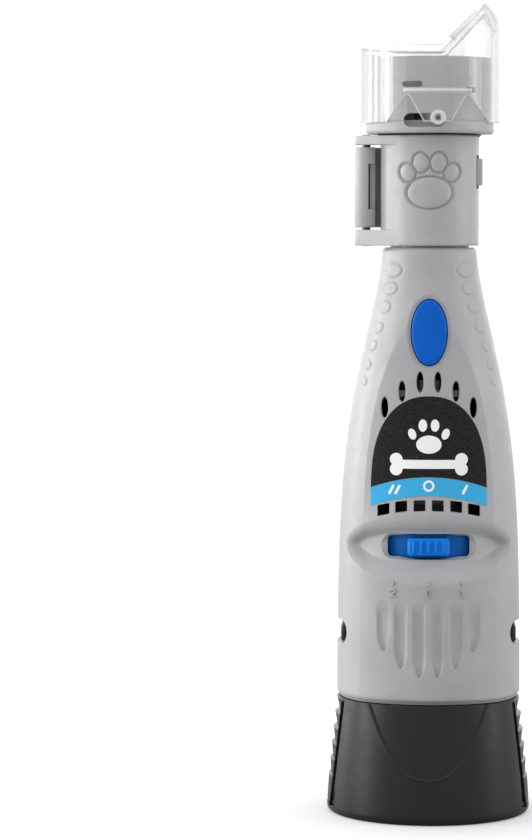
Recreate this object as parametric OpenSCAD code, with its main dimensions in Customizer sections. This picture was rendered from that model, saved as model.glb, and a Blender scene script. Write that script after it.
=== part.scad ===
// Cordless nail grinder for pets: a battery handle with a two-speed slider and a spindle
// lock, a hinged guard clamped on its nose, and a clear cap with a slanted nail guide.
// Millimetres. +Z runs up the spindle, -Y is the label side, and the origin is the centre
// of the face it stands on.

/* [Housing] */
// Radius of the housing at its belly
belly_r = 22.4; // [22:0.1:22.8]
// Radius of the housing at the top of its neck
neck_r = 11.4; // [11.2:0.1:11.8]
// Height of the seam between battery pack and housing
seam_z = 28.5; // [28:0.1:29]
// Height of the top of the neck
neck_z = 137.4; // [137:0.1:137.6]
// Wall thickness of the housing
wall = 2; // [1.9:0.05:2.1]
// Share of the height over which the neck widens
taper_share = 0.33; // [0.31:0.01:0.35]

/* [Battery pack] */
// Radius of the pack near its foot
foot_r = 24.6; // [24.2:0.1:25]
// Radius of the pack at the seam
pack_top_r = 22.5; // [22.3:0.1:22.7]
// Half the width of a side latch
latch_half_w = 9.2; // [8.8:0.1:9.4]
// Diameter of one cell
cell_d = 14.2; // [14:0.1:14.3]
// Length of one cell
cell_h = 43; // [42:0.5:43]

/* [Controls] */
// Half the width of the oval lock button
button_half_w = 4.26; // [4:0.02:4.5]
// Half the height of the oval lock button
button_half_h = 7.85; // [7.5:0.05:8]
// Height of the centre of the lock button
button_z = 117.5; // [117.4:0.1:117.6]
// Height of the centre of the speed slot
slot_z = 66.3; // [66:0.1:66.6]
// Half the length of the speed slot
slot_half_w = 10.6; // [10.5:0.1:10.8]
// Half the width of the slider's grip
grip_half_w = 5.05; // [4.8:0.05:5.05]

/* [Motor and spindle] */
// Radius of the motor can
motor_r = 12.2; // [12:0.1:12.3]
// Radius of the mandrel's shank, which the collet grips
shank_r = 1.19; // [1.15:0.01:1.2]
// Radius of the grinding disc
disc_r = 11.1; // [10.5:0.1:11.5]

/* [Guard] */
// Outer radius of the hinged sleeve
sleeve_r = 11.95; // [11.8:0.05:12.1]
// Outer radius of the collar inside the clear cap
collar_r = 14.9; // [14.7:0.1:15]
// Outer radius of the clear cap
cap_r = 16.9; // [16.8:0.1:17.2]
// Wall thickness of the clear cap
cap_wall = 1.6; // [1.5:0.05:1.65]
// Height the clear cap would reach if its top were not cut away
cap_top_z = 198.3; // [197.8:0.1:198.6]

/* [Hidden] */
$fn = 64;

gap = 0.05;             // running clearance in the solids
eps = 0.5;              // overshoot of a cutter past the face it cuts
taper_power = 1.6;
front = -40;            // a Y well in front of everything
rear = 40;              // a Y well behind everything

// Oval thumb pocket around the speed slot; its floor bulges forward between flat ends
pocket_half_w = 20;
pocket_up = 8;
pocket_down = 9;
pocket_floor_r = 16.4;
pocket_floor_y = -1.2;
pocket_end_y = -3;
pocket_rim = 1;

// Badge on the front of the housing
badge_half_w = 13.9;
badge_foot_z = 78.6;
badge_sill_z = 80.3;
badge_top_z = 102.3;
badge_sink = 0.3;
badge_proud = 0.15;

strip_r = 15.8;         // outside of the slider's curved strip

// Six columns shared by the vents and the flutes, as distances from the centre line
columns = [2.17, 6.55, 10.7];

// Heights up the spindle
motor_z0 = 76;
motor_z1 = 106;
coupling_z0 = 111;
coupling_z1 = 124;
coupling_r = 4.4;
lock_hole_r = 1.7;
bearing_z0 = 131;
bearing_z1 = 136;
ball_ring_r = 5.25;
nose_r = 9.5;
nose_z = 147;
motor_shaft_r = 1.15;
spindle_r = 2.5;
thread_r = 3.5;
bush_r = 3;
nut_z0 = 149;
nut_z1 = 160;
sleeve_z0 = 163;        // the mandrel's pull-down sleeve
sleeve_z1 = 176;
sleeve_floor_z = 168.5;
disc_z = 181.2;

// Guard
guard_z0 = 138.2;
flange_z0 = 165.2;
flange_z1 = 168.1;
flange_r = 15.9;
collar_top_z = 183.5;
collar_wall = 1.8;
sleeve_in_r = 9.7;
hinge_x = -15.4;
knuckle_r = 2.8;
pin_r = 1;
ear_low_z1 = 142;
ear_high_z0 = 162.6;
door_z1 = 164.8;
channel_half_w = 6.1;
cap_z0 = 168.3;
cap_flat_z = 186.6;
slope_x = 2.6;          // where the flat top ends and the 45 degree nail guide starts
nail_hole_r = 4.4;

// Battery pack
stem_r = 18.4;
stem_half_w = 15.3;
stem_z1 = 48;
cell_z0 = 2.3;
cell_pitch = cell_d / 2 + 0.05;
link_t = 0.25;
blade_x = [-9, 0, 9];
latch_pivot_x = 21;
latch_pivot_z = 4.6;
hook_z0 = 42.1;
hook_z1 = 47.1;
window_half_w = 10.2;
window_half_h = 2.8;
window_z = 44.6;

// ---- Shared shapes ----

function body_r(z) =
    neck_r + (belly_r - neck_r)
    * (1 - exp(-pow((neck_z - z) / (neck_z - seam_z) / taper_share, taper_power)));

function pack_r(z) = foot_r + (pack_top_r - foot_r) * z / seam_z;

// Points round an ellipse in a plane, n of them
function ellipse(half_w, half_h, n = 40) =
    [for (i = [0:n - 1]) [half_w * cos(360 * i / n), half_h * sin(360 * i / n)]];

module block(low, high) { translate(low) cube(high - low); }

module rod(r, z0, z1) { translate([0, 0, z0]) cylinder(r = r, h = z1 - z0); }

module tube(r_out, r_in, z0, z1) {
    difference() {
        rod(r_out, z0, z1);
        rod(r_in, z0 - eps, z1 + eps);
    }
}

// A round bar along Y, centred on (x, z)
module bar_y(x, z, r, y0, y1) {
    translate([x, y1, z]) rotate([90, 0, 0]) cylinder(r = r, h = y1 - y0);
}

// A round bar along X, centred on (y, z)
module bar_x(y, z, r, x0, x1) {
    translate([x0, y, z]) rotate([0, 90, 0]) cylinder(r = r, h = x1 - x0);
}

// Draws its 2D children, in X and Z, as a prism from y0 to y1
module prism_y(y0, y1) {
    translate([0, y1, 0]) rotate([90, 0, 0]) linear_extrude(y1 - y0) children();
}

// A slot with round ends, along X, cut from y0 to y1
module slot_y(z, half_w, half_h, y0, y1) {
    block([half_h - half_w, y0, z - half_h], [half_w - half_h, y1, z + half_h]);
    for (side = [-1, 1]) bar_y(side * (half_w - half_h), z, half_h, y0, y1);
}

// The housing's outer shape, taken in by inset
module body_solid(inset, z0, z1, n = 22) {
    rotate_extrude() polygon(concat(
        [[0, z0]],
        [for (i = [0:n]) let (z = z0 + (z1 - z0) * i / n) [body_r(z) - inset, z]],
        [[0, z1]]
    ));
}

// A coil spring along Z from z = 0, as a swept round wire; r0 and r1 are its end radii
module coil(r0, r1, wire_r, turns, length, steps = 14, sides = 6) {
    n = turns * steps;
    points = [for (i = [0:n]) for (k = [0:sides - 1]) let (
        a = 360 * i / steps,
        b = 360 * k / sides,
        d = r0 + (r1 - r0) * i / n + wire_r * cos(b)
    ) [d * cos(a), d * sin(a), wire_r + (length - 2 * wire_r) * i / n + wire_r * sin(b)]];
    ring = [for (k = [0:sides - 1]) k];
    skin = [for (i = [0:n - 1]) for (k = [0:sides - 1]) let (
        a = i * sides + k,
        b = i * sides + (k + 1) % sides
    ) each [[a, a + sides, b + sides], [a, b + sides, b]]];
    ends = [
        for (k = [1:sides - 2]) each [
            [ring[0], ring[k], ring[k + 1]],
            [n * sides, n * sides + k + 1, n * sides + k]
        ]
    ];
    polyhedron(points, concat(skin, ends));
}

// ---- Housing ----

module pocket_shape(grow) {
    n = 12;
    power = 2.3;
    offset(delta = grow) polygon([for (i = [0:4 * n - 1]) let (
        t = 90 * i / n,
        c = cos(t),
        half_h = sin(t) > 0 ? pocket_up : pocket_down
    ) [pocket_half_w * sign(c) * pow(abs(c), 2 / power), slot_z + half_h * sin(t)]]);
}

// The bulging floor of the pocket, taken in by inset
module pocket_floor(inset) {
    translate([0, pocket_floor_y, 0])
        rod(pocket_floor_r - inset, slot_z - pocket_down - 5, slot_z + pocket_up + 5);
}

module badge_shape() {
    n = 16;
    power = 2.3;
    foot_r = 38;
    arch = [for (i = [0:2 * n]) let (
        t = 90 * i / n,
        c = cos(t),
        s = sin(t)
    ) [badge_half_w * sign(c) * pow(abs(c), 2 / power),
       badge_sill_z + (badge_top_z - badge_sill_z) * pow(abs(s), 2 / power)]];
    difference() {
        union() {
            polygon(arch);
            translate([-badge_half_w, badge_foot_z - 4])
                square([2 * badge_half_w, badge_sill_z - badge_foot_z + 4.1]);
        }
        translate([0, badge_foot_z - foot_r]) circle(foot_r);
    }
}

module oval_vents() {
    heights = [105.6, 103.4, 99.5];
    for (i = [0:2], side = [-1, 1])
        translate([side * columns[i], 0, heights[i]])
            prism_y(front, -wall) polygon(ellipse(0.82, 2.45, 20));
}

module square_vents() {
    size = [2.8, 2.6];
    heights = [76.2, 75.95, 75.1];
    for (i = [0:2], side = [-1, 1])
        block([side * columns[i] - size[0] / 2, front, heights[i] - size[1] / 2],
              [side * columns[i] + size[0] / 2, -motor_r - 0.4, heights[i] + size[1] / 2]);
}

// One thumb flute: a spindle-shaped cutter that fades out at its top
module flute(x, foot_z) {
    width_r = 1.9;
    proud = 1.1;
    top_z = 55;
    length = top_z - foot_z;
    turn = asin(x / belly_r);
    rotate([0, 0, turn]) translate([0, -body_r(foot_z) - proud, foot_z]) rotate([2, 0, 0])
        rotate_extrude($fn = 32) polygon([
            [0, 0], [width_r * 0.62, 1], [width_r, 3.2], [width_r * 0.93, length * 0.6], [0, length]
        ]);
}

module flutes() {
    feet = [35.2, 37.2, 41.3];
    for (i = [0:2], side = [-1, 1]) flute(side * columns[i], feet[i]);
}

// Raised grip spots that shrink down each flank
module grip_spots() {
    count = 7;
    for (i = [0:count - 1], side = [-1, 1]) {
        z = 132.4 - 4.6 * i;
        half_w = 1.9 - 0.14 * i;
        proud = 0.35;
        turn = side * (43 + 3.4 * i);
        ball_r = (pow(half_w, 2) + pow(proud, 2)) / (2 * proud);
        rotate([0, 0, turn]) translate([0, ball_r - body_r(z) - proud, z]) sphere(ball_r);
    }
}

// Where the four housing screws go: [x, z, y of the head's seat]
function screw_places() = [
    for (side = [-1, 1]) each [[side * 15.6, 55.5, 12], [side * 10.6, 112.5, 8.6]]
];

module screw_bosses(y0, y1) {
    boss_r = 3.7;
    for (p = screw_places()) bar_y(p[0], p[1], boss_r, y0, y1);
}

module screw_holes() {
    for (p = screw_places()) {
        bar_y(p[0], p[1], 1.35, -9, p[2] + eps);
        bar_y(p[0], p[1], 2.7, p[2], rear);
    }
}

// Ribs that hold the motor, as rings on the inside of the wall
module motor_ribs() {
    for (z = [motor_z0 + 1.5, motor_z1 - 4])
        difference() {
            body_solid(wall - 0.3, z, z + 1.6, 1);
            rod(motor_r + gap, z - eps, z + 2.1);
        }
}

// Seat for the lock spring: a bridge between the button's flange and the coupling
module lock_seat() {
    difference() {
        block([-13, -5.9, 113], [13, -5.2, 122]);
        bar_y(0, button_z, 1.7, -7, -4);
    }
}

// Rails above and below the slider's strip, with corners that hold the switch
module slider_rails() {
    rail_t = 1.2;
    rail_r = 14.4;
    corner_x = [9.05, 11];
    for (z = [slot_z - 3.3 - rail_t, slot_z + 3.3]) {
        intersection() {
            tube(30, rail_r, z, z + rail_t);
            block([-15, front, z], [15, -10, z + rail_t]);
        }
        for (side = [0, 1]) mirror([side, 0, 0])
            block([corner_x[0], -14, z], [corner_x[1], -5, z + rail_t]);
    }
}

// Shelf behind the battery contacts
module contact_shelf() { block([-20, 0, 57.3], [20, 22, 58.5]); }

// Everything of the two housing halves together, before it is split at the side seam
module housing_whole() {
    neck_floor_z = 129.4;
    difference() {
        union() {
            difference() {
                union() {
                    rotate_extrude() polygon(concat(
                        [[0, seam_z], [body_r(seam_z) - 0.9, seam_z]],
                        [for (i = [0:22]) let (z = seam_z + 1.2 + (neck_z - seam_z - 1.8) * i / 22)
                            [body_r(z), z]],
                        [[neck_r - 0.7, neck_z], [0, neck_z]]
                    ));
                    grip_spots();
                }
                body_solid(wall, seam_z - 1, neck_floor_z);
            }
            intersection() {
                body_solid(0.4, seam_z + 1, neck_z - 3);
                union() {
                    difference() {
                        prism_y(front, pocket_floor_y) pocket_shape(pocket_rim);
                        pocket_floor(1.5);
                    }
                    screw_bosses(front, rear);
                    motor_ribs();
                    lock_seat();
                    slider_rails();
                    contact_shelf();
                }
            }
            rod(nose_r, neck_z - 1, nose_z);
        }
        difference() {
            prism_y(front, pocket_end_y) pocket_shape(0);
            pocket_floor(0);
        }
        intersection() {
            rod(strip_r + 0.1, slot_z - 3.1, slot_z + 3.1);
            block([-15.2, front, slot_z - 4], [15.2, pocket_floor_y, slot_z + 4]);
        }
        rod(6, neck_floor_z - 1, nose_z + 1);
        rod(8 + gap, bearing_z0 - gap, bearing_z1 + gap);
        oval_vents();
        square_vents();
        flutes();
        slot_y(slot_z, slot_half_w, 2.65, front, -8);
        difference() {
            slot_y(slot_z, slot_half_w + 0.6, 3, front, -8);
            pocket_floor(0.6);
        }
        translate([0, 0, button_z])
            prism_y(front, -8) polygon(ellipse(button_half_w + 0.2, button_half_h + 0.2));
        difference() {
            prism_y(front, 0) badge_shape();
            body_solid(badge_sink, seam_z, neck_z - 2);
        }
        latch_windows();
        screw_holes();
    }
}

// Windows for the latch hooks, with a groove below each for the hook's path
module latch_windows() {
    for (side = [0, 180]) rotate([0, 0, side]) {
        block([18, window_half_h - window_half_w, window_z - window_half_h],
              [30, window_half_w - window_half_h, window_z + window_half_h]);
        for (y = [-1, 1])
            bar_x(y * (window_half_w - window_half_h), window_z, window_half_h, 18, 30);
        intersection() {
            block([15, -7.2, seam_z - 1], [30, 7.2, hook_z1 + 1]);
            rod(belly_r - 0.85, seam_z - 1, hook_z1 + 1);
        }
    }
}

module front_housing() {
    color("silver") intersection() {
        housing_whole();
        block([-30, front, 20], [30, -gap, 150]);
    }
}

module rear_housing() {
    color("silver") intersection() {
        housing_whole();
        block([-30, gap, 20], [30, rear, 150]);
    }
}

module housing_screws() {
    color("dimgray") for (p = screw_places()) difference() {
        union() {
            bar_y(p[0], p[1], 1.3, -8.6, p[2] + 1);
            bar_y(p[0], p[1], 2.5, p[2] + gap, p[2] + 1.8);
        }
        translate([p[0], p[2] + 2, p[1]]) for (turn = [0, 90]) rotate([0, turn, 0])
            cube([3.2, 1.6, 0.6], center = true);
    }
}

module badge() {
    color("black") intersection() {
        difference() {
            body_solid(-badge_proud, 70, 105, 8);
            body_solid(badge_sink - 0.02, 69, 106, 8);
        }
        prism_y(front, 0) offset(delta = -0.08) badge_shape();
    }
}

// ---- Spindle lock ----

module lock_button() {
    flange_y = -9.9;
    color("royalblue") {
        intersection() {
            body_solid(-0.55, 105, 130, 6);
            translate([0, 0, button_z])
                prism_y(front, flange_y) polygon(ellipse(button_half_w, button_half_h));
        }
        translate([0, 0, button_z])
            prism_y(flange_y, flange_y + 0.9)
                polygon(ellipse(button_half_w + 1.2, button_half_h + 0.7));
        bar_y(0, button_z, 1.4, flange_y - 1, -coupling_r - 0.6);
    }
}

module lock_spring() {
    color("silver") translate([0, -8.95, button_z]) rotate([-90, 0, 0])
        coil(2.1, 3.4, 0.2, 3, 3);
}

// ---- Speed control ----

module slider_strip(r_in, r_out, z0, z1, half_angle) {
    rotate([0, 0, -90 - half_angle]) rotate_extrude(angle = 2 * half_angle)
        translate([r_in, z0]) square([r_out - r_in, z1 - z0]);
}

module speed_slider() {
    grip_half_h = 2.1;
    color("dodgerblue") {
        slider_strip(strip_r - 1.2, strip_r, slot_z - 3, slot_z + 3, 56);
        intersection() {
            block([-grip_half_w, -19.6, slot_z - grip_half_h],
                  [grip_half_w, -15.2, slot_z + grip_half_h]);
            rod(19.4, slot_z - 4, slot_z + 4);
        }
        for (i = [-2:2]) translate([i * 1.9, -19.2, 0])
            rod(0.55, slot_z - grip_half_h + 0.3, slot_z + grip_half_h - 0.3);
        block([-0.8, -15, slot_z - 1.2], [0.8, -11.5, slot_z + 1.2]);
    }
}

module switch_body() {
    color("dimgray") difference() {
        block([-9, -10.5, slot_z - 4.8], [9, -4.5, slot_z + 4.8]);
        block([-8, -9.7, slot_z - 3.4], [8, -5.5, slot_z + 3.4]);
        block([-6.6, -12, slot_z - 2], [6.6, -9, slot_z + 2]);
    }
}

module switch_actuator() {
    color("black") {
        block([-4.2, -9.6, slot_z - 3.2], [4.2, -8.4, slot_z + 3.2]);
        difference() {
            block([-2.6, -12.9, slot_z - 1.8], [2.6, -9, slot_z + 1.8]);
            block([-1.15, -14, slot_z - 3], [1.15, -10.9, slot_z + 3]);
        }
    }
}

module switch_terminals() {
    color("gold") for (x = [-6, 0, 6])
        block([x - 1, -4.5 + gap, slot_z - 2], [x + 1, -1.35, slot_z - 1.4]);
}

// ---- Power path in the housing ----

// Fork contacts that the battery's blades slide into
module battery_contacts() {
    color("gold") for (x = blade_x) {
        for (side = [-1, 1])
            block([x - 1.6, side * 0.8 - 0.25, 49.5], [x + 1.6, side * 0.8 + 0.25, 57]);
        block([x - 1.6, -0.9, 56.5], [x + 1.6, 0.9, 57.2]);
    }
}

// Two insulated wires from the switch up to the motor's tabs
module motor_leads() {
    color("firebrick") for (side = [-1, 1]) {
        translate([side * 6.4, -0.6, 0]) rod(0.7, slot_z - 6.4, motor_z0 - 3 - gap);
        translate([side * 6.4, -0.6, slot_z - 6.4]) sphere(0.7, $fn = 24);
    }
}

// ---- Motor ----

module motor_can() {
    color("silver") difference() {
        rod(motor_r, motor_z0, motor_z1);
        rod(motor_r - 0.8, motor_z0 - eps, motor_z1 - 1);
        rod(bush_r + gap, motor_z1 - 2, motor_z1 + eps);
    }
}

module motor_end_cap() {
    color("dimgray") {
        difference() {
            union() {
                rod(motor_r - 0.2, motor_z0 - 3, motor_z0 - gap);
                tube(motor_r - 0.9, 8, motor_z0 - 0.5, motor_z0 + 1.4);
            }
            rod(bush_r + gap, motor_z0 - 4, motor_z0 + 2);
            rod(3.5, motor_z0 - 1.75, motor_z0 + 2);
            for (side = [-1, 1])
                block([side * 5.4 - 2.2, -1.1, motor_z0 - 1.6], [side * 5.4 + 2.2, 1.1, motor_z0 + 2]);
        }
    }
}

module motor_magnets() {
    color("dimgray") for (side = [0, 180]) rotate([0, 0, side - 60])
        rotate_extrude(angle = 120) translate([9.4, motor_z0 + 3]) square([1.9, 23]);
}

module motor_brushes() {
    color("goldenrod") for (side = [-1, 1])
        block([side * 5.3 - 2, -1, motor_z0 - 1.5], [side * 5.3 + 2, 1, motor_z0 + 1.9]);
}

module motor_front_bush() {
    color("goldenrod") tube(bush_r, motor_shaft_r + gap, motor_z1 - 0.95, motor_z1 + 1.6);
}

module motor_rear_bush() {
    color("goldenrod") tube(bush_r, motor_shaft_r + gap, motor_z0 - 4, motor_z0 - 1.8);
}

module motor_shaft() {
    color("lightgray") rod(motor_shaft_r, motor_z0 - 5, coupling_z0 + 4.5);
}

// Three-pole laminated core
module motor_armature() {
    pole_w = 3;
    color("dimgray") difference() {
        union() {
            rod(3.4, motor_z0 + 6, motor_z0 + 23);
            for (turn = [0, 120, 240]) rotate([0, 0, turn]) {
                block([2, -pole_w / 2, motor_z0 + 6], [8, pole_w / 2, motor_z0 + 23]);
                rotate([0, 0, -50]) rotate_extrude(angle = 100)
                    translate([7.4, motor_z0 + 6]) square([1.5, 17]);
            }
        }
        rod(motor_shaft_r + gap, motor_z0, motor_z1);
    }
}

module motor_windings() {
    color("peru") for (turn = [0, 120, 240]) rotate([0, 0, turn]) difference() {
        block([3.9, -2.7, motor_z0 + 4.6], [6.7, 2.7, motor_z0 + 24.4]);
        block([3, -1.5 - gap, motor_z0 + 6 - gap], [9, 1.5 + gap, motor_z0 + 23 + gap]);
    }
}

module motor_commutator() {
    color("peru") difference() {
        rod(3.1, motor_z0 - 1.6, motor_z0 + 4);
        rod(motor_shaft_r + gap, motor_z0 - 3, motor_z0 + 5);
        for (turn = [0, 60, 120])
            rotate([0, 0, turn]) translate([0, 0, motor_z0]) cube([7, 0.35, 5], center = true);
    }
}

// ---- Spindle ----

// Drives the spindle, and has four cross holes for the lock pin
module lock_coupling() {
    color("darkgray") difference() {
        rod(coupling_r, coupling_z0, coupling_z1);
        rod(motor_shaft_r + gap, coupling_z0 - eps, coupling_z0 + 5);
        rod(spindle_r + gap, coupling_z1 - 4, coupling_z1 + eps);
        for (turn = [0, 90, 180, 270]) rotate([0, 0, turn])
            bar_y(0, button_z, lock_hole_r, -8, -2.2);
    }
}

module spindle() {
    color("lightgray") difference() {
        union() {
            rod(spindle_r, coupling_z1 - 3.9, bearing_z1 + 1);
            rod(4.4, bearing_z1 + gap, nose_z);
            rod(thread_r, nose_z - 1, nose_z + 7);
            for (i = [0:4]) rotate_extrude() translate([thread_r - 0.2, nose_z + 1.2 + 1.15 * i])
                polygon([[0, -0.5], [0.45, 0], [0, 0.5]]);
        }
        translate([0, 0, nose_z - 1]) cylinder(r1 = 1.6, r2 = 2.75, h = 9);
        rod(shank_r + 0.12, nose_z - 8, nose_z + 1);
    }
}

// Groove that the balls run in
module ball_groove() {
    rotate_extrude() translate([ball_ring_r, (bearing_z0 + bearing_z1) / 2]) circle(1.4);
}

module bearing_outer_race() {
    color("silver") difference() {
        tube(8, 6.2, bearing_z0, bearing_z1);
        ball_groove();
    }
}

module bearing_inner_race() {
    color("silver") difference() {
        tube(4.3, spindle_r + gap, bearing_z0, bearing_z1);
        ball_groove();
    }
}

module bearing_balls() {
    color("silver") for (turn = [0:45:315])
        rotate([0, 0, turn]) translate([ball_ring_r, 0, (bearing_z0 + bearing_z1) / 2]) sphere(1.35);
}

module collet() {
    color("lightgray") difference() {
        union() {
            translate([0, 0, nose_z - 1 + gap]) cylinder(r1 = 1.5, r2 = 2.62, h = 8.6);
            translate([0, 0, nose_z + 7.6]) cylinder(r1 = 2.6, r2 = 1.9, h = 3.2);
        }
        rod(shank_r + 0.03, nose_z - 2, nose_z + 12);
        for (turn = [0, 90]) rotate([0, 0, turn])
            block([-4, -0.25, nose_z + 1], [4, 0.25, nose_z + 12]);
    }
}

module collet_nut() {
    flat_r = 5.5;
    color("silver") difference() {
        union() {
            rod(5.2, nut_z0, nut_z1 - 1.4);
            translate([0, 0, nut_z1 - 1.4]) cylinder(r1 = 5.2, r2 = 3.6, h = 1.4);
            translate([0, 0, nut_z0 + 1]) cylinder(r = flat_r, h = 5, $fn = 6);
        }
        rod(thread_r + 0.35, nut_z0 - eps, nut_z0 + 6.4);
        translate([0, 0, nut_z0 + 6]) cylinder(r1 = 3.2, r2 = 2.1, h = 3.6);
        rod(shank_r + 0.5, nut_z0, nut_z1 + eps);
    }
}

// ---- Mandrel and disc ----

module mandrel_shank() { color("lightgray") rod(shank_r, nose_z - 6, sleeve_floor_z - 0.5); }

// Brass sleeve with a flange; it is pulled down to free the disc
module mandrel_body() {
    color("darkkhaki") difference() {
        rotate_extrude() polygon([
            [0, sleeve_z0], [2.2, sleeve_z0], [3.2, sleeve_z0 + 1.8], [4.8, sleeve_z0 + 3.2],
            [4.8, sleeve_z0 + 4.2], [3.7, sleeve_z0 + 5], [3.6, sleeve_z1 - 0.4],
            [3.2, sleeve_z1], [0, sleeve_z1]
        ]);
        rod(shank_r + gap, sleeve_z0 - 1, sleeve_z1 + 1);
        rod(2.5, sleeve_floor_z, sleeve_z1 - 1.4);
    }
}

module mandrel_spring() {
    color("silver") translate([0, 0, sleeve_floor_z + 1.55])
        coil(1.85, 1.85, 0.22, 4, 4.45);
}

// Steel head with two bayonet slots
module mandrel_lock() {
    color("gainsboro") difference() {
        union() {
            rod(2.3, sleeve_floor_z + 0.2, sleeve_floor_z + 1.5);
            rod(3.1, sleeve_z1 + 0.1, disc_z - 0.2);
            rod(shank_r - 0.04, sleeve_floor_z - 0.45, sleeve_z1 + 1);
        }
        block([-4, -0.8, 178.4], [4, 0.8, 182]);
    }
}

module disc_plate() {
    color("silver") {
        difference() {
            rod(disc_r, disc_z, disc_z + 0.6);
            for (turn = [0:30:330]) rotate([0, 0, turn]) translate([9.6, 0, 0])
                rod(0.35, disc_z - eps, disc_z + 0.2);
        }
        tube(4.5, 3.1 + gap, 178.2, disc_z + 0.3);
    }
}

module disc_abrasive() { color("midnightblue") rod(disc_r - 0.1, disc_z + 0.6, disc_z + 1.4); }

// ---- Guard ----

module knuckle(z0, z1, y0, y1) {
    translate([hinge_x, 0, 0]) rod(knuckle_r, z0, z1);
    block([hinge_x, y0, z0], [hinge_x + 5, y1, z1]);
}

module pin_hole() { translate([hinge_x, 0, 0]) rod(pin_r + gap, guard_z0 - 1, flange_z0 + 0.4); }

// Rear half of the sleeve, the ring that closes over the nose, and the collar
module guard_shell() {
    tongue = [152.8, 159.2];
    notch_x = -1.3;
    notch_z = 168.2;
    notch_half_w = 5;
    color("silver") difference() {
        union() {
            intersection() {
                tube(sleeve_r, sleeve_in_r, guard_z0, flange_z0 + 0.5);
                block([-20, 0.1, guard_z0], [20, 20, flange_z0 + 0.5]);
            }
            tube(flange_r, sleeve_in_r, flange_z0, flange_z1);
            tube(collar_r, collar_r - collar_wall, flange_z1 - 1, collar_top_z);
            difference() {
                knuckle(ear_low_z1 + 0.4, ear_high_z0 - 0.4, 0.1, 0.9 * knuckle_r);
                rod(sleeve_in_r + 0.3, 130, 170);
                block([hinge_x + 0.5, -5, 147], [hinge_x + 2.3, -0.7, 158]);
            }
            block([11.2, -3, tongue[0]], [11.9, 2, tongue[1]]);
            intersection() {
                block([11.2, -3, tongue[0]], [12.9, 0.4, tongue[1]]);
                translate([10.6, -1.3, 0]) rod(2.3, tongue[0], tongue[1]);
            }
        }
        pin_hole();
        block([-channel_half_w, front, flange_z1], [channel_half_w, 1 - collar_r, collar_top_z + 1]);
        translate([notch_x, 0, 0]) slot_y(notch_z, notch_half_w, 1.65, front, -11.6);
    }
}

// Front half of the sleeve, which swings open on the hinge pin
module guard_door() {
    color("silver") difference() {
        union() {
            intersection() {
                union() {
                    tube(sleeve_r, sleeve_in_r, guard_z0, door_z1);
                    paw_pads();
                }
                block([-20, -20, guard_z0], [20, -0.1, door_z1]);
            }
            for (z = [[guard_z0, ear_low_z1], [ear_high_z0, door_z1]]) difference() {
                knuckle(z[0], z[1], -0.9 * knuckle_r, -0.1);
                rod(sleeve_in_r + 0.3, 130, 170);
            }
        }
        pin_hole();
        block([10.7, -4, 152], [20, 1, 160]);
    }
}

// A plain paw: one pad and four toes, each a round boss just proud of the door
module paw_pads() {
    paw_z = 151.2;
    proud = 0.2;
    toes = [[-5.2, 4, 1.7], [-1.9, 6.5, 1.9], [1.9, 6.5, 1.9], [5.2, 4, 1.7]];
    bar_y(0, paw_z, 3.6, -sleeve_r - proud, 1 - sleeve_r);
    for (t = toes) rotate([0, 0, asin(t[0] / sleeve_r)])
        bar_y(0, paw_z + t[1], t[2], -sleeve_r - proud, 1 - sleeve_r);
}

module guard_hinge_pin() {
    color("gray") translate([hinge_x, 0, 0]) rod(pin_r, guard_z0 - 0.1, door_z1 + 0.2);
}

// The cap's round outer shape, taken in by inset, before its top is cut
module cap_round(inset, z0) {
    r = cap_r - inset;
    top = cap_top_z - inset;
    shoulder_r = 8.4 - inset;
    n = 9;
    rotate_extrude() polygon(concat(
        [[0, z0], [r, z0]],
        [for (i = [0:n]) let (a = 90 * i / n)
            [r - shoulder_r + shoulder_r * cos(a), top - shoulder_r + shoulder_r * sin(a)]],
        [[0, top]]
    ));
}

// The region under the flat top and the 45 degree nail guide, taken in by inset
module cap_side_view(inset) {
    flat = cap_flat_z - inset;
    start = slope_x + inset * (sqrt(2) - 1);
    polygon([[-30, 100], [30, 100], [30, flat + 30 - start], [start, flat], [-30, flat]]);
}

module cap_body(inset, z0) {
    intersection() {
        cap_round(inset, z0);
        prism_y(-30, 30) cap_side_view(inset);
    }
}

// Axis of the nail hole: through the middle of the slanted plate, square to it
module along_nail_hole() {
    reach = 5.6;
    translate([slope_x + reach, 0, cap_flat_z + reach]) rotate([0, -45, 0]) children();
}

module nail_cap() {
    turn = 7;
    nub_z = 169.3;
    color("lightcyan", 0.4) difference() {
        union() {
            difference() {
                cap_body(0, cap_z0);
                cap_body(cap_wall, cap_z0 - 5);
                along_nail_hole() translate([0, 0, -6]) cylinder(r = nail_hole_r, h = 12);
            }
            rotate([0, 0, turn]) bar_y(0, nub_z, 1.6, 1.2 - cap_r, 0.5 - collar_r);
        }
        rotate([0, 0, turn]) prism_y(front, -8) for (side = [-1, 1]) polygon([
            [side * 2.9, cap_z0 - 1], [side * 6.6, 174.7], [side * 8.2, 174.7],
            [side * 12, cap_z0], [side * 12, cap_z0 - 1]
        ]);
    }
}

// ---- Battery pack ----

// Outer shape of the pack, taken in by inset, with a rounded foot
module pack_solid(inset, z0) {
    rotate_extrude() polygon([
        [0, z0], [foot_r - 3.2 - inset, z0], [foot_r - 1.1 - inset, z0 + 0.9],
        [foot_r - inset - 0.15, z0 + 3], [pack_top_r - inset, seam_z - 0.15], [0, seam_z - 0.15]
    ]);
}

module latch_room(side) {
    block([side > 0 ? 16.9 : -30, -latch_half_w - 0.35, 1.8],
          [side > 0 ? 30 : -16.9, latch_half_w + 0.35, seam_z + 1]);
}

module battery_case() {
    color("dimgray") difference() {
        pack_solid(0, 0);
        difference() {
            pack_solid(2, 2);
            for (side = [-1, 1]) latch_well(side);
        }
        rod(foot_r, seam_z - 2.2, seam_z + 1);
        for (side = [-1, 1]) {
            latch_room(side);
            bar_y(side * latch_pivot_x, latch_pivot_z, 1 + gap, -latch_half_w - 1.6, latch_half_w + 1.6);
        }
    }
}

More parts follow.
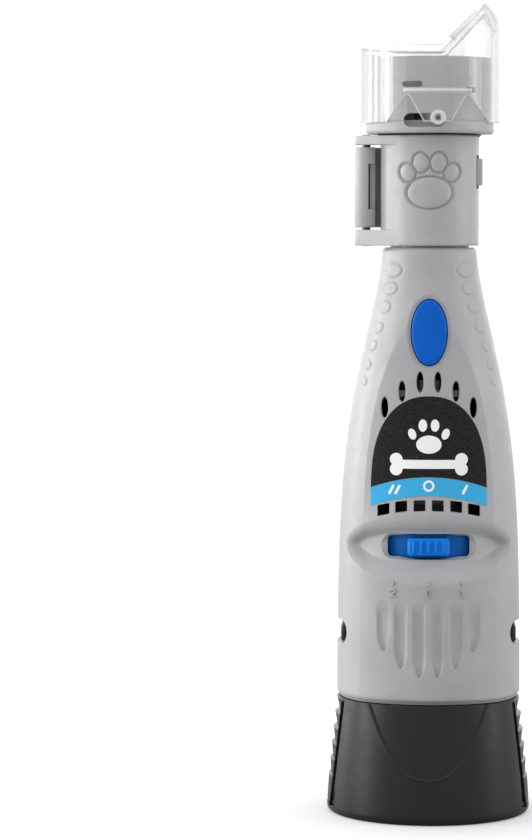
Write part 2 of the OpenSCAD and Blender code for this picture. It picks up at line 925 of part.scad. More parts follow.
// Wall behind and beside a latch, so that the latch sits in a closed well
module latch_well(side) {
    block([side > 0 ? 15.7 : -30, -latch_half_w - 2.2, 0],
          [side > 0 ? 30 : -15.7, latch_half_w + 2.2, seam_z]);
}

// Lid of the pack and the stem that goes up into the housing
module battery_stem() {
    color("dimgray") difference() {
        union() {
            difference() {
                intersection() {
                    pack_solid(0, 0);
                    rod(foot_r, seam_z - 2.1, seam_z + 1);
                }
                for (side = [-1, 1]) latch_room(side);
            }
            intersection() {
                rod(stem_r, seam_z - 2.1, stem_z1);
                block([-stem_half_w, -20, 20], [stem_half_w, 20, 60]);
            }
        }
        intersection() {
            rod(stem_r - 1, 20, stem_z1 - 1.2);
            block([1 - stem_half_w, -20, 20], [stem_half_w - 1, 20, 60]);
        }
        for (x = blade_x) block([x - 1.4, -0.45, stem_z1 - 2], [x + 1.4, 0.45, stem_z1 + 1]);
    }
}

module battery_cells() {
    color("seagreen") for (x = [-1, 1], y = [-1, 1]) translate([x * cell_pitch, y * cell_pitch, 0]) {
        rod(cell_d / 2, cell_z0 + 0.4, cell_z0 + cell_h - 1);
        rod(2.8, cell_z0 + cell_h - 1.1, cell_z0 + cell_h);
        rod(6.2, cell_z0 + 0.3, cell_z0 + 0.5);
    }
}

// Nickel strips that join the cells in series
module cell_links() {
    top = cell_z0 + cell_h + gap;
    half_w = 2.2;
    color("gainsboro") {
        for (x = [-cell_pitch, cell_pitch]) {
            block([x - half_w, -9, top], [x + half_w, 9, top + link_t]);
            block([x - half_w, 4.8, cell_z0], [x + half_w, 9.4, cell_z0 + link_t]);
        }
        block([-9.4, -9.4, cell_z0], [9.4, -4.8, cell_z0 + link_t]);
    }
}

module battery_terminals() {
    color("gold") for (x = blade_x)
        block([x - 1.3, -0.4, stem_z1 - 1.1], [x + 1.3, 0.4, 55]);
}

// A rib for the finger: a ledge on top, tapering in to the panel below it
module latch_rib(ledge_z, proud) {
    drop = 3.4;
    rotate_extrude() polygon([
        [10, ledge_z - drop], [pack_r(ledge_z - drop) - 0.1, ledge_z - drop],
        [pack_r(ledge_z) + proud, ledge_z - 0.5], [pack_r(ledge_z) + proud, ledge_z], [10, ledge_z]
    ]);
}

// A side latch: ribbed press panel, arm up into the housing and hook
module battery_latch() {
    arm_x = 18.5;
    arm_half_w = 5.6;
    color("dimgray") {
        intersection() {
            difference() {
                union() {
                    pack_solid(0.05, 0);
                    for (i = [0:4]) latch_rib(28 - 3.8 * i, 1.25 - 0.25 * i);
                }
                pack_solid(2.2, -5);
            }
            block([arm_x + 0.1, -latch_half_w, 2.2], [30, latch_half_w, seam_z - 0.15]);
        }
        block([arm_x, -arm_half_w, 22], [arm_x + 1.2, arm_half_w, hook_z1]);
        intersection() {
            rod(21.3, hook_z0, hook_z1);
            block([arm_x, -arm_half_w - 0.8, hook_z0], [30, arm_half_w + 0.8, hook_z1]);
        }
        intersection() {
            rod(pack_r(24) - 1, 22, 26.4);
            block([arm_x, -arm_half_w, 22], [30, arm_half_w, 26.4]);
        }
        bar_y(latch_pivot_x, latch_pivot_z, 1, -latch_half_w - 1.4, latch_half_w + 1.4);
        intersection() {
            block([latch_pivot_x - 1.4, -latch_half_w, 3.2], [30, latch_half_w, 6]);
            pack_solid(0.4, 0);
        }
    }
}

module battery_latch_right() { battery_latch(); }

module battery_latch_left() { rotate([0, 0, 180]) battery_latch(); }

// Spring between the wall of the well and the latch's arm
module latch_spring() {
    color("silver") translate([16.92, 0, 24.2]) rotate([0, 90, 0]) coil(1.2, 2.2, 0.2, 3, 1.55);
}

module latch_spring_right() { latch_spring(); }

module latch_spring_left() { rotate([0, 0, 180]) latch_spring(); }

// ---- One if line per node ----

front_housing();
rear_housing();
housing_screws();
badge();
lock_button();
lock_spring();
speed_slider();
switch_body();
switch_actuator();
switch_terminals();
battery_contacts();
motor_leads();
motor_can();
motor_end_cap();
motor_magnets();
motor_brushes();
motor_front_bush();
motor_rear_bush();
motor_armature();
motor_windings();
motor_commutator();
motor_shaft();
lock_coupling();
spindle();
bearing_outer_race();
bearing_inner_race();
bearing_balls();
collet();
collet_nut();
mandrel_shank();
mandrel_body();
mandrel_spring();
mandrel_lock();
disc_plate();
disc_abrasive();
guard_shell();
guard_door();
guard_hinge_pin();
nail_cap();
battery_case();
battery_stem();
battery_cells();
cell_links();
battery_terminals();
battery_latch_left();
battery_latch_right();
latch_spring_left();
latch_spring_right();
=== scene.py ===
import math

import bpy
import numpy as np
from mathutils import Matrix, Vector


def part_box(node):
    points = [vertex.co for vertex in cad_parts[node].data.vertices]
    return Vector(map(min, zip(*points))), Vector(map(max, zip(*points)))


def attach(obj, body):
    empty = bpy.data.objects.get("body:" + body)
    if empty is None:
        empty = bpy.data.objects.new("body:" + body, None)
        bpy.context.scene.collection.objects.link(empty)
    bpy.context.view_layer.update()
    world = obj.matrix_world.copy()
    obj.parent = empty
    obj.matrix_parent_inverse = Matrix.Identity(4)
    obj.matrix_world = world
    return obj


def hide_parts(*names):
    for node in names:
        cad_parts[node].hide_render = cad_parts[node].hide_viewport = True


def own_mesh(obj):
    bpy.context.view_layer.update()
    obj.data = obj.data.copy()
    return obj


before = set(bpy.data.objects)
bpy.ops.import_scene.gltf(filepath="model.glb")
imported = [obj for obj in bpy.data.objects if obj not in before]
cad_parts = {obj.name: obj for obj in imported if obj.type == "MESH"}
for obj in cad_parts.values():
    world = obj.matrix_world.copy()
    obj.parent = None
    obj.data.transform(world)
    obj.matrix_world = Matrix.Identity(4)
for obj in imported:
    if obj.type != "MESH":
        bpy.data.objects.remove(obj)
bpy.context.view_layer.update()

# ---- Sizes ----
# Shapes are worked out in millimetres and become metres when a piece is made.

MM = 0.001


def node_box(name):
    """Lowest and highest corner of a CAD node, in millimetres."""
    low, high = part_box(name)
    return np.array(low) / MM, np.array(high) / MM


shell_low, shell_high = node_box("rear_housing")
seam_z = shell_low[2]
nose_z = shell_high[2]
neck_z = node_box("guard_door")[0][2] - 0.38
belly_r = shell_high[1]
neck_r = 11.4
wall = 1.7

foot_r = node_box("battery_case")[1][1] + 0.4
pack_top_r = 22.4

button_low, button_high = node_box("lock_button")
button_z = (button_low[2] + button_high[2]) / 2
button_size = (4.26, 7.85)
button_tip_y = button_high[1]

slider_low, slider_high = node_box("speed_slider")
slot_z = (slider_low[2] + slider_high[2]) / 2
strip_r = 15.8

sleeve_r = 11.95
sleeve_in_r = 9.7
guard_z0 = node_box("guard_shell")[0][2]
door_z1 = node_box("guard_door")[1][2]
collar_top_z = node_box("guard_shell")[1][2]
flange_z0 = door_z1 + 0.4
flange_z1 = flange_z0 + 2.9
flange_r = 15.5
collar_r = 14.9
pin_low, pin_high = node_box("guard_hinge_pin")
hinge_x = (pin_low[0] + pin_high[0]) / 2
pin_r = (pin_high[0] - pin_low[0]) / 2
knuckle_r = 2.8

cap_low, cap_high = node_box("nail_cap")
cap_r = cap_high[0]
cap_wall = 1.6
cap_flat_z = cap_low[2] + 18.3
slope_x = 2.6

# The oval thumb pocket, and the smaller oval of its bulging floor round the slot
pocket_half, pocket_up, pocket_down = 20.0, 8.0, 9.0
floor_half, floor_up, floor_down = 15.8, 3.3, 3.6
floor_bulge_r = 20.5
floor_front = 17.7

# The flatter front panel: where its arch starts, its half width and how soon it gets there
panel_top_z = 124.5
panel_widest = 16.8
panel_spread = 16.3

# The arched badge
badge_half = 13.9
badge_foot_z = 78.6
badge_rise = 23.7
badge_foot_r = 38.0
band_share = 0.185

# How far from the middle vents and flutes stand, the heights of the vents above the badge
# and below it, and where the flutes start
columns = (2.17, 6.55, 10.8)
upper_vent_z = (105.6, 103.4, 99.5)
lower_vent_z = (76.2, 75.95, 75.15)
flute_foot_z = (35.2, 37.2, 41.3)

# Grip spots down each flank
grip_z = (132.3, 128.0, 123.5, 118.6, 114.2, 109.6, 105.5)

# Inside the housing: the rings that hold the motor, the bearing's seat, and each screw's
# place across, height and depth of seat
motor_ring_z = (77.5, 102.0)
motor_ring_r = 12.3
bearing_z0, bearing_z1, bearing_r = 130.95, 136.05, 8.05
screw_places = [
    (side * x, z, seat)
    for x, z, seat in ((15.6, 55.5, 12.0), (10.6, 112.5, 8.6))
    for side in (-1, 1)
]

# Heights of the door's two hinge ears and of the knuckle between them
ear_z = ((guard_z0, 142.0), (162.6, door_z1))
knuckle_z = (142.6, 162.0)

# Battery pack: its cavity, its stem inside the housing, its lid and the latches' pivots
pack_floor_z = 2.0
pack_wall = 2.0
stem_r, stem_half, stem_wall = 18.4, 15.3, 1.0
lid_z = 26.4
pivot_x, pivot_z = 21, 4.6


# ---- Small maths helpers ----


def step(low, high, value):
    """0 below low, 1 above high, smooth between."""
    t = np.clip((value - low) / (high - low), 0, 1)
    return t * t * (3 - 2 * t)


def smooth_min(a, b, width):
    h = np.maximum(width - np.abs(a - b), 0) / np.maximum(width, 1e-9)
    return np.minimum(a, b) - h * h * width / 4


def full_turn(n):
    """Angles spread evenly round a circle."""
    return np.linspace(0, 2 * np.pi, n, endpoint=False)


def ellipse(half_w, half_h, n=48):
    t = full_turn(n)
    return np.stack([half_w * np.cos(t), half_h * np.sin(t)], 1)


def rounded_box(half_w, half_h, radius, n=8):
    """Outline of a rectangle with round corners."""
    t = np.linspace(0, np.pi / 2, n)
    points = []
    for k, (sx, sy) in enumerate([(1, 1), (-1, 1), (-1, -1), (1, -1)]):
        a = t + k * np.pi / 2
        points.append(np.stack([
            sx * (half_w - radius) + radius * np.cos(a),
            sy * (half_h - radius) + radius * np.sin(a),
        ], 1))
    return np.concatenate(points)


def stadium(half_w, half_h, n=14):
    """Outline of a slot with round ends."""
    t = np.linspace(-np.pi / 2, np.pi / 2, n)
    right = np.stack([half_w - half_h + half_h * np.cos(t), half_h * np.sin(t)], 1)
    return np.concatenate([right, -right])


# ---- Mesh helpers ----


def loft(rings):
    """A closed skin over a list of rings of points, each ring with the same count."""
    rings = [np.asarray(r, float) for r in rings]
    n = len(rings[0])
    verts = np.concatenate(rings + [rings[0].mean(0)[None], rings[-1].mean(0)[None]])
    k = np.arange(n)
    after = (k + 1) % n
    faces = []
    for i in range(len(rings) - 1):
        a, b = i * n, (i + 1) * n
        faces += np.stack([a + k, a + after, b + after, b + k], 1).tolist()
    low, high = len(rings) * n, len(rings) * n + 1
    top = (len(rings) - 1) * n
    faces += np.stack([after, k, np.full(n, low)], 1).tolist()
    faces += np.stack([top + k, top + after, np.full(n, high)], 1).tolist()
    return verts, faces


def ring_at(outline, z):
    """A ring at height z from an outline in X and Y."""
    return np.column_stack([outline, np.full(len(outline), z)])


def ring_y(outline, y):
    """A ring at depth y from an outline in X and Z; y may differ from point to point."""
    return np.column_stack([outline[:, 0], np.broadcast_to(y, len(outline)), outline[:, 1]])


def solid_z(outline, z0, z1, edge=0.0):
    """A prism along Z whose two rims are softened by edge."""
    outline = np.asarray(outline, float)
    if edge <= 0:
        return loft([ring_at(outline, z0), ring_at(outline, z1)])
    middle = outline.mean(0)
    reach = np.linalg.norm(outline - middle, axis=1).max()
    small = middle + (outline - middle) * (1 - edge / reach)
    less = middle + (outline - middle) * (1 - 0.3 * edge / reach)
    return loft([
        ring_at(small, z0), ring_at(less, z0 + 0.3 * edge), ring_at(outline, z0 + edge),
        ring_at(outline, z1 - edge), ring_at(less, z1 - 0.3 * edge), ring_at(small, z1),
    ])


def solid_y(outline, y0, y1):
    """A prism along Y from an outline in X and Z."""
    return loft([ring_y(outline, y0), ring_y(outline, y1)])


def circle(r, n=64, x=0.0, y=0.0):
    return ellipse(r, r, n) + (x, y)


def round_ring(r, angles, z):
    """A ring round the axis, its angles counted from the front and its radii one by one."""
    return np.stack([r * np.sin(angles), -r * np.cos(angles), np.broadcast_to(z, np.shape(r))], 1)


def revolved(profile, n=160):
    """A solid of revolution about Z: profile runs from the axis and back to it."""
    outline = ellipse(1.0, 1.0, n)
    return loft([ring_at(r * outline, z) for r, z in profile])


def rod(r, z0, z1, n=160):
    """A round rod on the tool's axis."""
    return revolved([(0, z0), (r, z0), (r, z1), (0, z1)], n)


def rolled_rim(r, z, inwards, upwards, angles):
    """Profile points of a quarter round, from a wall of radius r at height z to a top."""
    return [(r - inwards * (1 - math.cos(a)), z + upwards * math.sin(a)) for a in angles]


def fillet(r0, z0, r1, z1):
    """Quarter round between two profile points, bulging outwards."""
    t = np.linspace(0, np.pi / 2, 6)
    return [(r0 + (r1 - r0) * math.sin(a), z0 + (z1 - z0) * (1 - math.cos(a))) for a in t]


def new_object(name, data):
    obj = bpy.data.objects.new(name, data)
    bpy.context.scene.collection.objects.link(obj)
    return obj


def new_piece(name, skin):
    """An object from a skin in millimetres, with its faces turned outwards."""
    verts, faces = skin
    mesh = bpy.data.meshes.new(name)
    mesh.from_pydata((np.asarray(verts) * MM).tolist(), [], faces)
    mesh.update()
    mesh.calc_loop_triangles()
    points = np.asarray(verts) * MM
    corners = np.array([t.vertices[:] for t in mesh.loop_triangles])
    a, b, c = points[corners[:, 0]], points[corners[:, 1]], points[corners[:, 2]]
    if np.einsum("ij,ij->i", a, np.cross(b, c)).sum() < 0:
        mesh.flip_normals()
    return new_object(name, mesh)


def combine(target, tool, how):
    """Shapes target with tool, a skin or an object, which is then removed."""
    if isinstance(tool, tuple):
        tool = new_piece("tool", tool)
    modifier = target.modifiers.new("shape", "BOOLEAN")
    modifier.operation = how
    modifier.solver = "MANIFOLD"
    modifier.object = tool
    bpy.context.view_layer.update()
    shaped = target.evaluated_get(bpy.context.evaluated_depsgraph_get())
    mesh = bpy.data.meshes.new_from_object(shaped)
    if len(mesh.polygons) == 0:
        raise RuntimeError(f"{how} left nothing of {target.name}")
    target.modifiers.clear()
    target.data = mesh
    bpy.data.objects.remove(tool)
    return target


def add(target, tool):
    return combine(target, tool, "UNION")


def cut(target, tool):
    return combine(target, tool, "DIFFERENCE")


def crop(target, tool):
    return combine(target, tool, "INTERSECT")


def join_all(skins):
    """One object from several skins, joined as solids."""
    whole = new_piece("tool", skins[0])
    for skin in skins[1:]:
        add(whole, skin)
    return whole


def box_skin(low, high):
    """A plain box between two corners."""
    (x0, y0, z0), (x1, y1, z1) = low, high
    return solid_z([[x0, y0], [x1, y0], [x1, y1], [x0, y1]], z0, z1)


def soft_box(low, high, radius):
    """A box whose upright edges are round and whose rims are softened."""
    low, high = np.array(low, float), np.array(high, float)
    half = (high - low) / 2
    outline = rounded_box(half[0], half[1], radius, 5) + (high + low)[:2] / 2
    return solid_z(outline, low[2], high[2], radius * 0.6)


def bar_y(x, z, r, y0, y1):
    """A round bar along Y."""
    return solid_y(circle(r, 48, x, z), y0, y1)


def finish_piece(obj, body, surface, node=None, sharp=38):
    """Shades the piece, gives it its material and hangs it on its body, in a node's place."""
    mesh = obj.data
    mesh.shade_smooth()
    mesh.set_sharp_from_angle(angle=math.radians(sharp))
    mesh.materials.clear()
    mesh.materials.append(surface)
    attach(obj, body)
    if node:
        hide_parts(node)
    return obj


# ---- Materials ----


class Nodes:
    """A node tree that starts empty and gets its nodes one by one."""

    def __init__(self, tree):
        self.tree = tree
        tree.nodes.clear()

    def node(self, kind, inputs=None, **settings):
        """Adds a node. Inputs, by name or number, are values or outputs of other nodes."""
        made = self.tree.nodes.new(kind)
        for key, value in settings.items():
            setattr(made, key, value)
        for key, value in (inputs or {}).items():
            self.feed(made.inputs[key], value)
        return made

    def feed(self, socket, value):
        if isinstance(value, bpy.types.NodeSocket):
            self.tree.links.new(value, socket)
        else:
            socket.default_value = value

    def math(self, how, a, b):
        return self.node("ShaderNodeMath", {0: a, 1: b}, operation=how).outputs["Value"]

    def blend(self, share, first, second):
        """Mixes two shaders."""
        return self.node("ShaderNodeMixShader", {0: share, 1: first, 2: second}).outputs["Shader"]


class Surface(Nodes):
    """A Principled material. Its textures work in metres."""

    def __init__(self, name):
        self.material = bpy.data.materials.new(name)
        self.material.use_nodes = True
        super().__init__(self.material.node_tree)
        self.output = self.node("ShaderNodeOutputMaterial")
        self.shader = self.node("ShaderNodeBsdfPrincipled")
        self.show(self.shader.outputs["BSDF"])
        self.place = self.node("ShaderNodeTexCoord").outputs["Object"]

    def show(self, shader):
        self.feed(self.output.inputs["Surface"], shader)

    def set(self, **values):
        """Feeds the Principled shader's inputs."""
        for key, value in values.items():
            self.feed(self.shader.inputs[key.replace("_", " ")], value)

    def noise(self, size_mm, detail=2.0, roughness=0.5, stretch=None):
        place = self.place
        if stretch:
            mapping = self.node("ShaderNodeMapping", {"Vector": place, "Scale": stretch})
            place = mapping.outputs["Vector"]
        made = self.node("ShaderNodeTexNoise", {
            "Vector": place, "Scale": 1 / (size_mm * MM), "Detail": detail, "Roughness": roughness})
        return made.outputs["Fac"]

    def ramp(self, value, low, high, out_low, out_high):
        made = self.node("ShaderNodeMapRange", {
            "Value": value, "From Min": low, "From Max": high, "To Min": out_low, "To Max": out_high})
        return made.outputs["Result"]

    def mix(self, share, first, second):
        """Mixes two colours."""
        inputs = {"Factor": share, 6: first, 7: second}
        return self.node("ShaderNodeMix", inputs, data_type="RGBA").outputs[2]

    def round_edges(self, radius_mm):
        """Normals that roll over the edges, and how far each point is from flat."""
        rolled = self.node("ShaderNodeBevel", {"Radius": radius_mm * MM}, samples=4).outputs["Normal"]
        flat = self.node("ShaderNodeNewGeometry").outputs["Normal"]
        dot = self.node("ShaderNodeVectorMath", {0: rolled, 1: flat}, operation="DOT_PRODUCT")
        return rolled, self.ramp(dot.outputs["Value"], 1.0, 0.85, 0.0, 1.0)

    def bump(self, height, depth_mm, normal=None):
        inputs = {"Height": height, "Distance": depth_mm * MM, "Strength": 1.0}
        if normal is not None:
            inputs["Normal"] = normal
        return self.node("ShaderNodeBump", inputs).outputs["Normal"]


def rgb(r, g, b):
    """Linear colour from the 0 to 255 values a screen shows."""
    def linear(v):
        v /= 255
        return v / 12.92 if v <= 0.04045 else ((v + 0.055) / 1.055) ** 2.4
    return (linear(r), linear(g), linear(b), 1.0)


def scaled(colour, factor):
    return tuple(min(1.0, c * factor) for c in colour[:3]) + (1.0,)


def mottled(colour, share):
    """A slightly darker and a slightly lighter tone of a colour."""
    return scaled(colour, 1 - share), scaled(colour, 1 + share)


def moulded(name, colour, roughness=0.5, grain_mm=0.32, depth_mm=0.012, mottle=0.05,
            edge_mm=0.15, edge_wear_and_highlight=1.18, specular=0.5):
    """Moulded plastic: spark-eroded grain, faint flow mottling and lighter edges, partly rubbed wear
    and partly a painted highlight.
    """
    s = Surface(name)
    base = s.mix(s.ramp(s.noise(9.0, 3.0), 0.3, 0.7, 0.0, 1.0), *mottled(colour, mottle))
    speck = s.ramp(s.noise(grain_mm * 1.6), 0.35, 0.65, 0.0, 0.22)
    base = s.mix(speck, base, scaled(colour, 0.86))
    # lighter edges: partly rubbed wear, partly a painted highlight
    normal, edge = s.round_edges(edge_mm)
    s.set(Base_Color=s.mix(s.math("MULTIPLY", edge, 0.5), base, scaled(colour, edge_wear_and_highlight)),
          Roughness=s.ramp(s.noise(2.5), 0.3, 0.7, roughness - 0.05, roughness + 0.07),
          Normal=s.bump(s.noise(grain_mm, 3.0, 0.6), depth_mm, normal),
          Specular_IOR_Level=specular)
    return s.material


def metal(name, colour, roughness=0.3, brush=(1, 1, 14)):
    """Machined metal: tool marks run round the part, with stains and bright edges."""
    s = Surface(name)
    marks = s.noise(0.5, 4.0, 0.65, stretch=brush)
    stain = s.ramp(s.noise(4.0, 3.0), 0.35, 0.7, 0.0, 0.5)
    base = s.mix(stain, colour, scaled(colour, 0.78))
    normal, edge = s.round_edges(0.12)
    s.set(Base_Color=s.mix(s.math("MULTIPLY", edge, 0.6), base, scaled(colour, 1.25)),
          Roughness=s.ramp(marks, 0.25, 0.75, roughness - 0.08, roughness + 0.14),
          Normal=s.bump(marks, 0.002, normal), Metallic=1.0)
    return s.material


def clear_plastic(name):
    """Clear moulded cap: see-through, mirror-like at a slant, whitish along cut edges."""
    s = Surface(name)
    slant = s.node("ShaderNodeLayerWeight", {"Blend": 0.5}).outputs["Facing"]
    # painted shade: the see-through tint greys where the wall is seen at a slant, in place of light
    # bent through the wall
    tint = s.mix(s.ramp(slant, 0.5, 1.0, 0.0, 1.0), (0.99, 0.991, 0.993, 1), (0.5, 0.51, 0.53, 1))
    through = s.node("ShaderNodeBsdfTransparent", {"Color": tint}).outputs["BSDF"]
    polish = s.ramp(s.noise(1.2, 3.0), 0.35, 0.75, 0.03, 0.09)
    ripple = s.bump(s.noise(5.0), 0.03)
    mirror = s.node("ShaderNodeBsdfGlossy", {"Roughness": polish, "Normal": ripple}).outputs["BSDF"]
    glance = s.math("ADD", s.math("MULTIPLY", s.math("POWER", slant, 5.0), 0.75), 0.04)
    body = s.blend(glance, through, mirror)

    # frost on edges and raised print, and fine scuffs all over
    normal, edge = s.round_edges(0.65)
    s.set(Base_Color=(0.92, 0.93, 0.95, 1.0), Roughness=0.3, Specular_IOR_Level=0.6, Normal=normal)
    scuffs = s.ramp(s.noise(0.5, 4.0, 0.7, stretch=(1, 1, 0.2)), 0.5, 0.8, 0.03, 0.14)
    x, y, z = s.node("ShaderNodeSeparateXYZ", {"Vector": s.place}).outputs
    radius = s.math("POWER", s.math("ADD", s.math("POWER", x, 2.0), s.math("POWER", y, 2.0)), 0.5)
    raised = s.ramp(radius, (cap_r + 0.04) * MM, (cap_r + 0.2) * MM, 0.0, 0.6)
    frost = s.math("MAXIMUM", s.math("MULTIPLY", edge, 0.95), raised)
    s.show(s.blend(s.math("ADD", frost, scuffs), body, s.shader.outputs["BSDF"]))
    return s.material


def grit(name, colour):
    """Abrasive coat: grains of two sizes, dark resin between them and a few pale specks painted as
    glints off grain facets.
    """
    s = Surface(name)
    coarse = s.node("ShaderNodeTexVoronoi", {"Scale": 1 / (0.35 * MM), "Vector": s.place})
    coarse = coarse.outputs["Distance"]
    fine = s.noise(0.2)
    base = s.mix(s.ramp(coarse, 0.1, 0.6, 0.0, 1.0), scaled(colour, 1.5), scaled(colour, 0.55))
    # the pale specks are painted glints
    s.set(Base_Color=s.mix(s.ramp(fine, 0.62, 0.7, 0.0, 0.7), base, rgb(170, 185, 205)),
          Roughness=s.ramp(fine, 0.3, 0.7, 0.45, 0.9),
          Normal=s.bump(s.math("ADD", s.math("MULTIPLY", coarse, -1.0), fine), 0.12))
    return s.material


def printed_film(name, colour, mottle):
    """Printed label stock: inked ground with a fine brushed mottle under a satin laminate."""
    s = Surface(name)
    weave = s.noise(0.55, 4.0, 0.7, stretch=(1.0, 1.0, 2.2))
    s.set(Base_Color=s.mix(s.ramp(weave, 0.35, 0.7, 0.0, 1.0), *mottled(colour, mottle)),
          Roughness=s.ramp(s.noise(1.0), 0.3, 0.7, 0.38, 0.5), Normal=s.bump(weave, 0.004),
          Coat_Weight=0.05, Coat_Roughness=0.25, Specular_IOR_Level=0.15)
    return s.material


def striped(name, colour, stripe, size_mm, roughness=0.45, metallic=0.0):
    """Fine stripes along Z: laminations, wound wire or a sleeve's print."""
    s = Surface(name)
    wave = s.node("ShaderNodeTexWave", {
        "Vector": s.place, "Scale": 1 / (size_mm * MM) / 6.3, "Distortion": 0.4,
    }, wave_type="BANDS", bands_direction="Z").outputs["Fac"]
    normal, _ = s.round_edges(0.1)
    s.set(Base_Color=s.mix(wave, colour, stripe), Metallic=metallic,
          Roughness=s.ramp(s.noise(0.8), 0.3, 0.7, roughness - 0.08, roughness + 0.08),
          Normal=s.bump(wave, 0.03, normal))
    return s.material


grey_plastic = moulded("housing_grey", rgb(170, 170, 172), 0.42)
guard_plastic = moulded("guard_grey", rgb(173, 173, 175), 0.42, grain_mm=0.28)
pack_plastic = moulded("pack_dark", rgb(27, 26, 26), 0.38, mottle=0.1, edge_wear_and_highlight=3.0,
                       specular=0.32)
latch_plastic = moulded("latch_dark", rgb(34, 33, 33), 0.38, mottle=0.1, edge_wear_and_highlight=3.0,
                        specular=0.32)
# the blue button's lighter rim is mostly a painted highlight
button_plastic = moulded("button_blue", rgb(0, 94, 196), 0.34, grain_mm=0.2, depth_mm=0.004,
                         edge_mm=0.35, edge_wear_and_highlight=2.4, specular=0.12)
slider_plastic = moulded("slider_blue", rgb(2, 120, 224), 0.36, grain_mm=0.2, depth_mm=0.004,
                         edge_mm=0.25, edge_wear_and_highlight=2.0, specular=0.15)
# a darker copy of the slider's blue: painted shade for the strip sunk in the slot
slider_painted_shade = moulded("slider_blue_painted_shade", rgb(4, 92, 168), 0.42, grain_mm=0.2, depth_mm=0.004,
                       edge_mm=0.25, specular=0.15)
dark_plastic = moulded("switch_dark", rgb(52, 52, 54), 0.5)
black_plastic = moulded("switch_black", rgb(30, 30, 31), 0.5)
label_black = printed_film("label_black", rgb(34, 32, 32), 0.95)
label_blue = printed_film("label_blue", rgb(60, 174, 226), 0.05)
label_white = printed_film("label_white", rgb(248, 248, 247), 0.02)
steel = metal("steel", rgb(200, 200, 202), 0.3)
dark_steel = metal("dark_steel", rgb(96, 96, 98), 0.4)
plated_steel = metal("plated_steel", rgb(205, 204, 200), 0.34, brush=(1, 1, 6))
polished_steel = metal("polished_steel", rgb(214, 214, 216), 0.14)
brass = metal("brass", rgb(196, 164, 104), 0.32)
mandrel_brass = metal("mandrel_brass", rgb(172, 152, 116), 0.34)
bronze = metal("bronze", rgb(160, 118, 72), 0.5)
copper = metal("copper", rgb(190, 110, 70), 0.35)
nickel = metal("nickel", rgb(206, 202, 192), 0.26, brush=(14, 1, 1))
disc_steel = metal("disc_steel", rgb(202, 202, 206), 0.28, brush=(1, 1, 1))
magnet_grey = moulded("magnet_grey", rgb(70, 70, 72), 0.6, grain_mm=0.15)
cell_film = striped("cell_film", rgb(40, 120, 84), rgb(34, 108, 74), 1.4, 0.3)
core_stack = striped("core_stack", rgb(120, 120, 124), rgb(60, 60, 62), 0.5, 0.45, 1.0)
wound_wire = striped("wound_wire", rgb(190, 98, 52), rgb(96, 44, 22), 0.35, 0.3, 0.8)
red_rubber = moulded("lead_red", rgb(150, 26, 22), 0.5)
abrasive_blue = grit("abrasive_blue", rgb(70, 82, 104))
clear = clear_plastic("cap_clear")


# ---- The housing's outer surface ----


def body_radius(z):
    """Radius of the round section: a bottle shape that widens quickly below the neck."""
    share = np.clip((neck_z - z) / (neck_z - seam_z), 0, None)
    return neck_r + (belly_r - neck_r) * (1 - np.exp(-((share / 0.33) ** 1.6)))


def panel_half(z):
    """Half the width of the flatter front panel, which starts in an arch at the neck."""
    drop = np.clip(panel_top_z - z, 0, None)
    return panel_widest * (1 - np.exp(-((drop / panel_spread) ** 0.95)))


def pocket_oval(x, z, half, up, down):
    """1 on the rim of a slightly squared oval round the slot, less inside, more outside."""
    rise = (z - slot_z) / np.where(z > slot_z, up, down)
    return (np.abs(x / half) ** 2.3 + rise**2) ** 0.465


def pocket_share(x, z):
    """0 outside the thumb pocket and on its rim, rising to 1 on its floor."""
    into = np.clip(1 - pocket_oval(x, z, pocket_half, pocket_up, pocket_down), 0, 1)
    left = np.clip(pocket_oval(x, z, floor_half, floor_up, floor_down) - 1, 0, None)
    t = into / np.maximum(into + left, 1e-6)
    # the rim is crisp along the foot and mostly rolled along the top
    crisp = np.sin(np.pi / 2 * t)
    rolled = t * t * (3 - 2 * t)
    above = 0.7 * step(-2.5, 2.5, z - slot_z)
    return crisp + (rolled - crisp) * above


def front_distance(x, z):
    """How far in front of the axis the housing's front is, at a place seen from the front."""
    r = body_radius(z)
    half = panel_half(z)
    x_in = np.clip(np.abs(x), 0, r - 1e-6)
    round_front = np.sqrt(r**2 - x_in**2)
    panel_r = r * (1.2 + 0.45 * step(70, 84, z))
    flat_front = (np.sqrt(np.maximum(r**2 - half**2, 0)) - np.sqrt(panel_r**2 - half**2)
                  + np.sqrt(panel_r**2 - x_in**2))
    crease = 0.1 * step(0, 5, half)
    outer = smooth_min(round_front, flat_front, crease)
    bulge = np.sqrt(np.maximum(floor_bulge_r**2 - x_in**2, 0))
    floor = floor_front - floor_bulge_r + bulge
    return outer + (floor - outer) * pocket_share(x, z)


def inner_distance(x, z):
    """The front's inner face: the outer one taken in by the wall, sideways as well."""
    inner = front_distance(x, z) - wall
    for share in (0.7, 1.0):
        deep = wall * math.sqrt(1 - share**2)
        for a in full_turn(12):
            near = front_distance(x + wall * share * math.cos(a), z + wall * share * math.sin(a))
            inner = np.minimum(inner, near - deep)
    return np.maximum(inner, 0.3)


def flute_depth(x, z):
    """Six thumb flutes: round-bottomed grooves that fade out under the pocket."""
    half_w, deep = 1.55, 0.8
    fade = deep * (1 - step(48.5, 53.8, z))
    depth = np.zeros_like(x)
    for column, foot in zip(columns, flute_foot_z):
        half = half_w * np.clip((z - foot) / 4.2, 0, 1) ** 0.5
        across = (np.abs(x) - column) / np.maximum(half, 1e-6)
        depth += fade * np.clip(1 - np.abs(across) ** 3.2, 0, 1) ** 0.6
    return depth


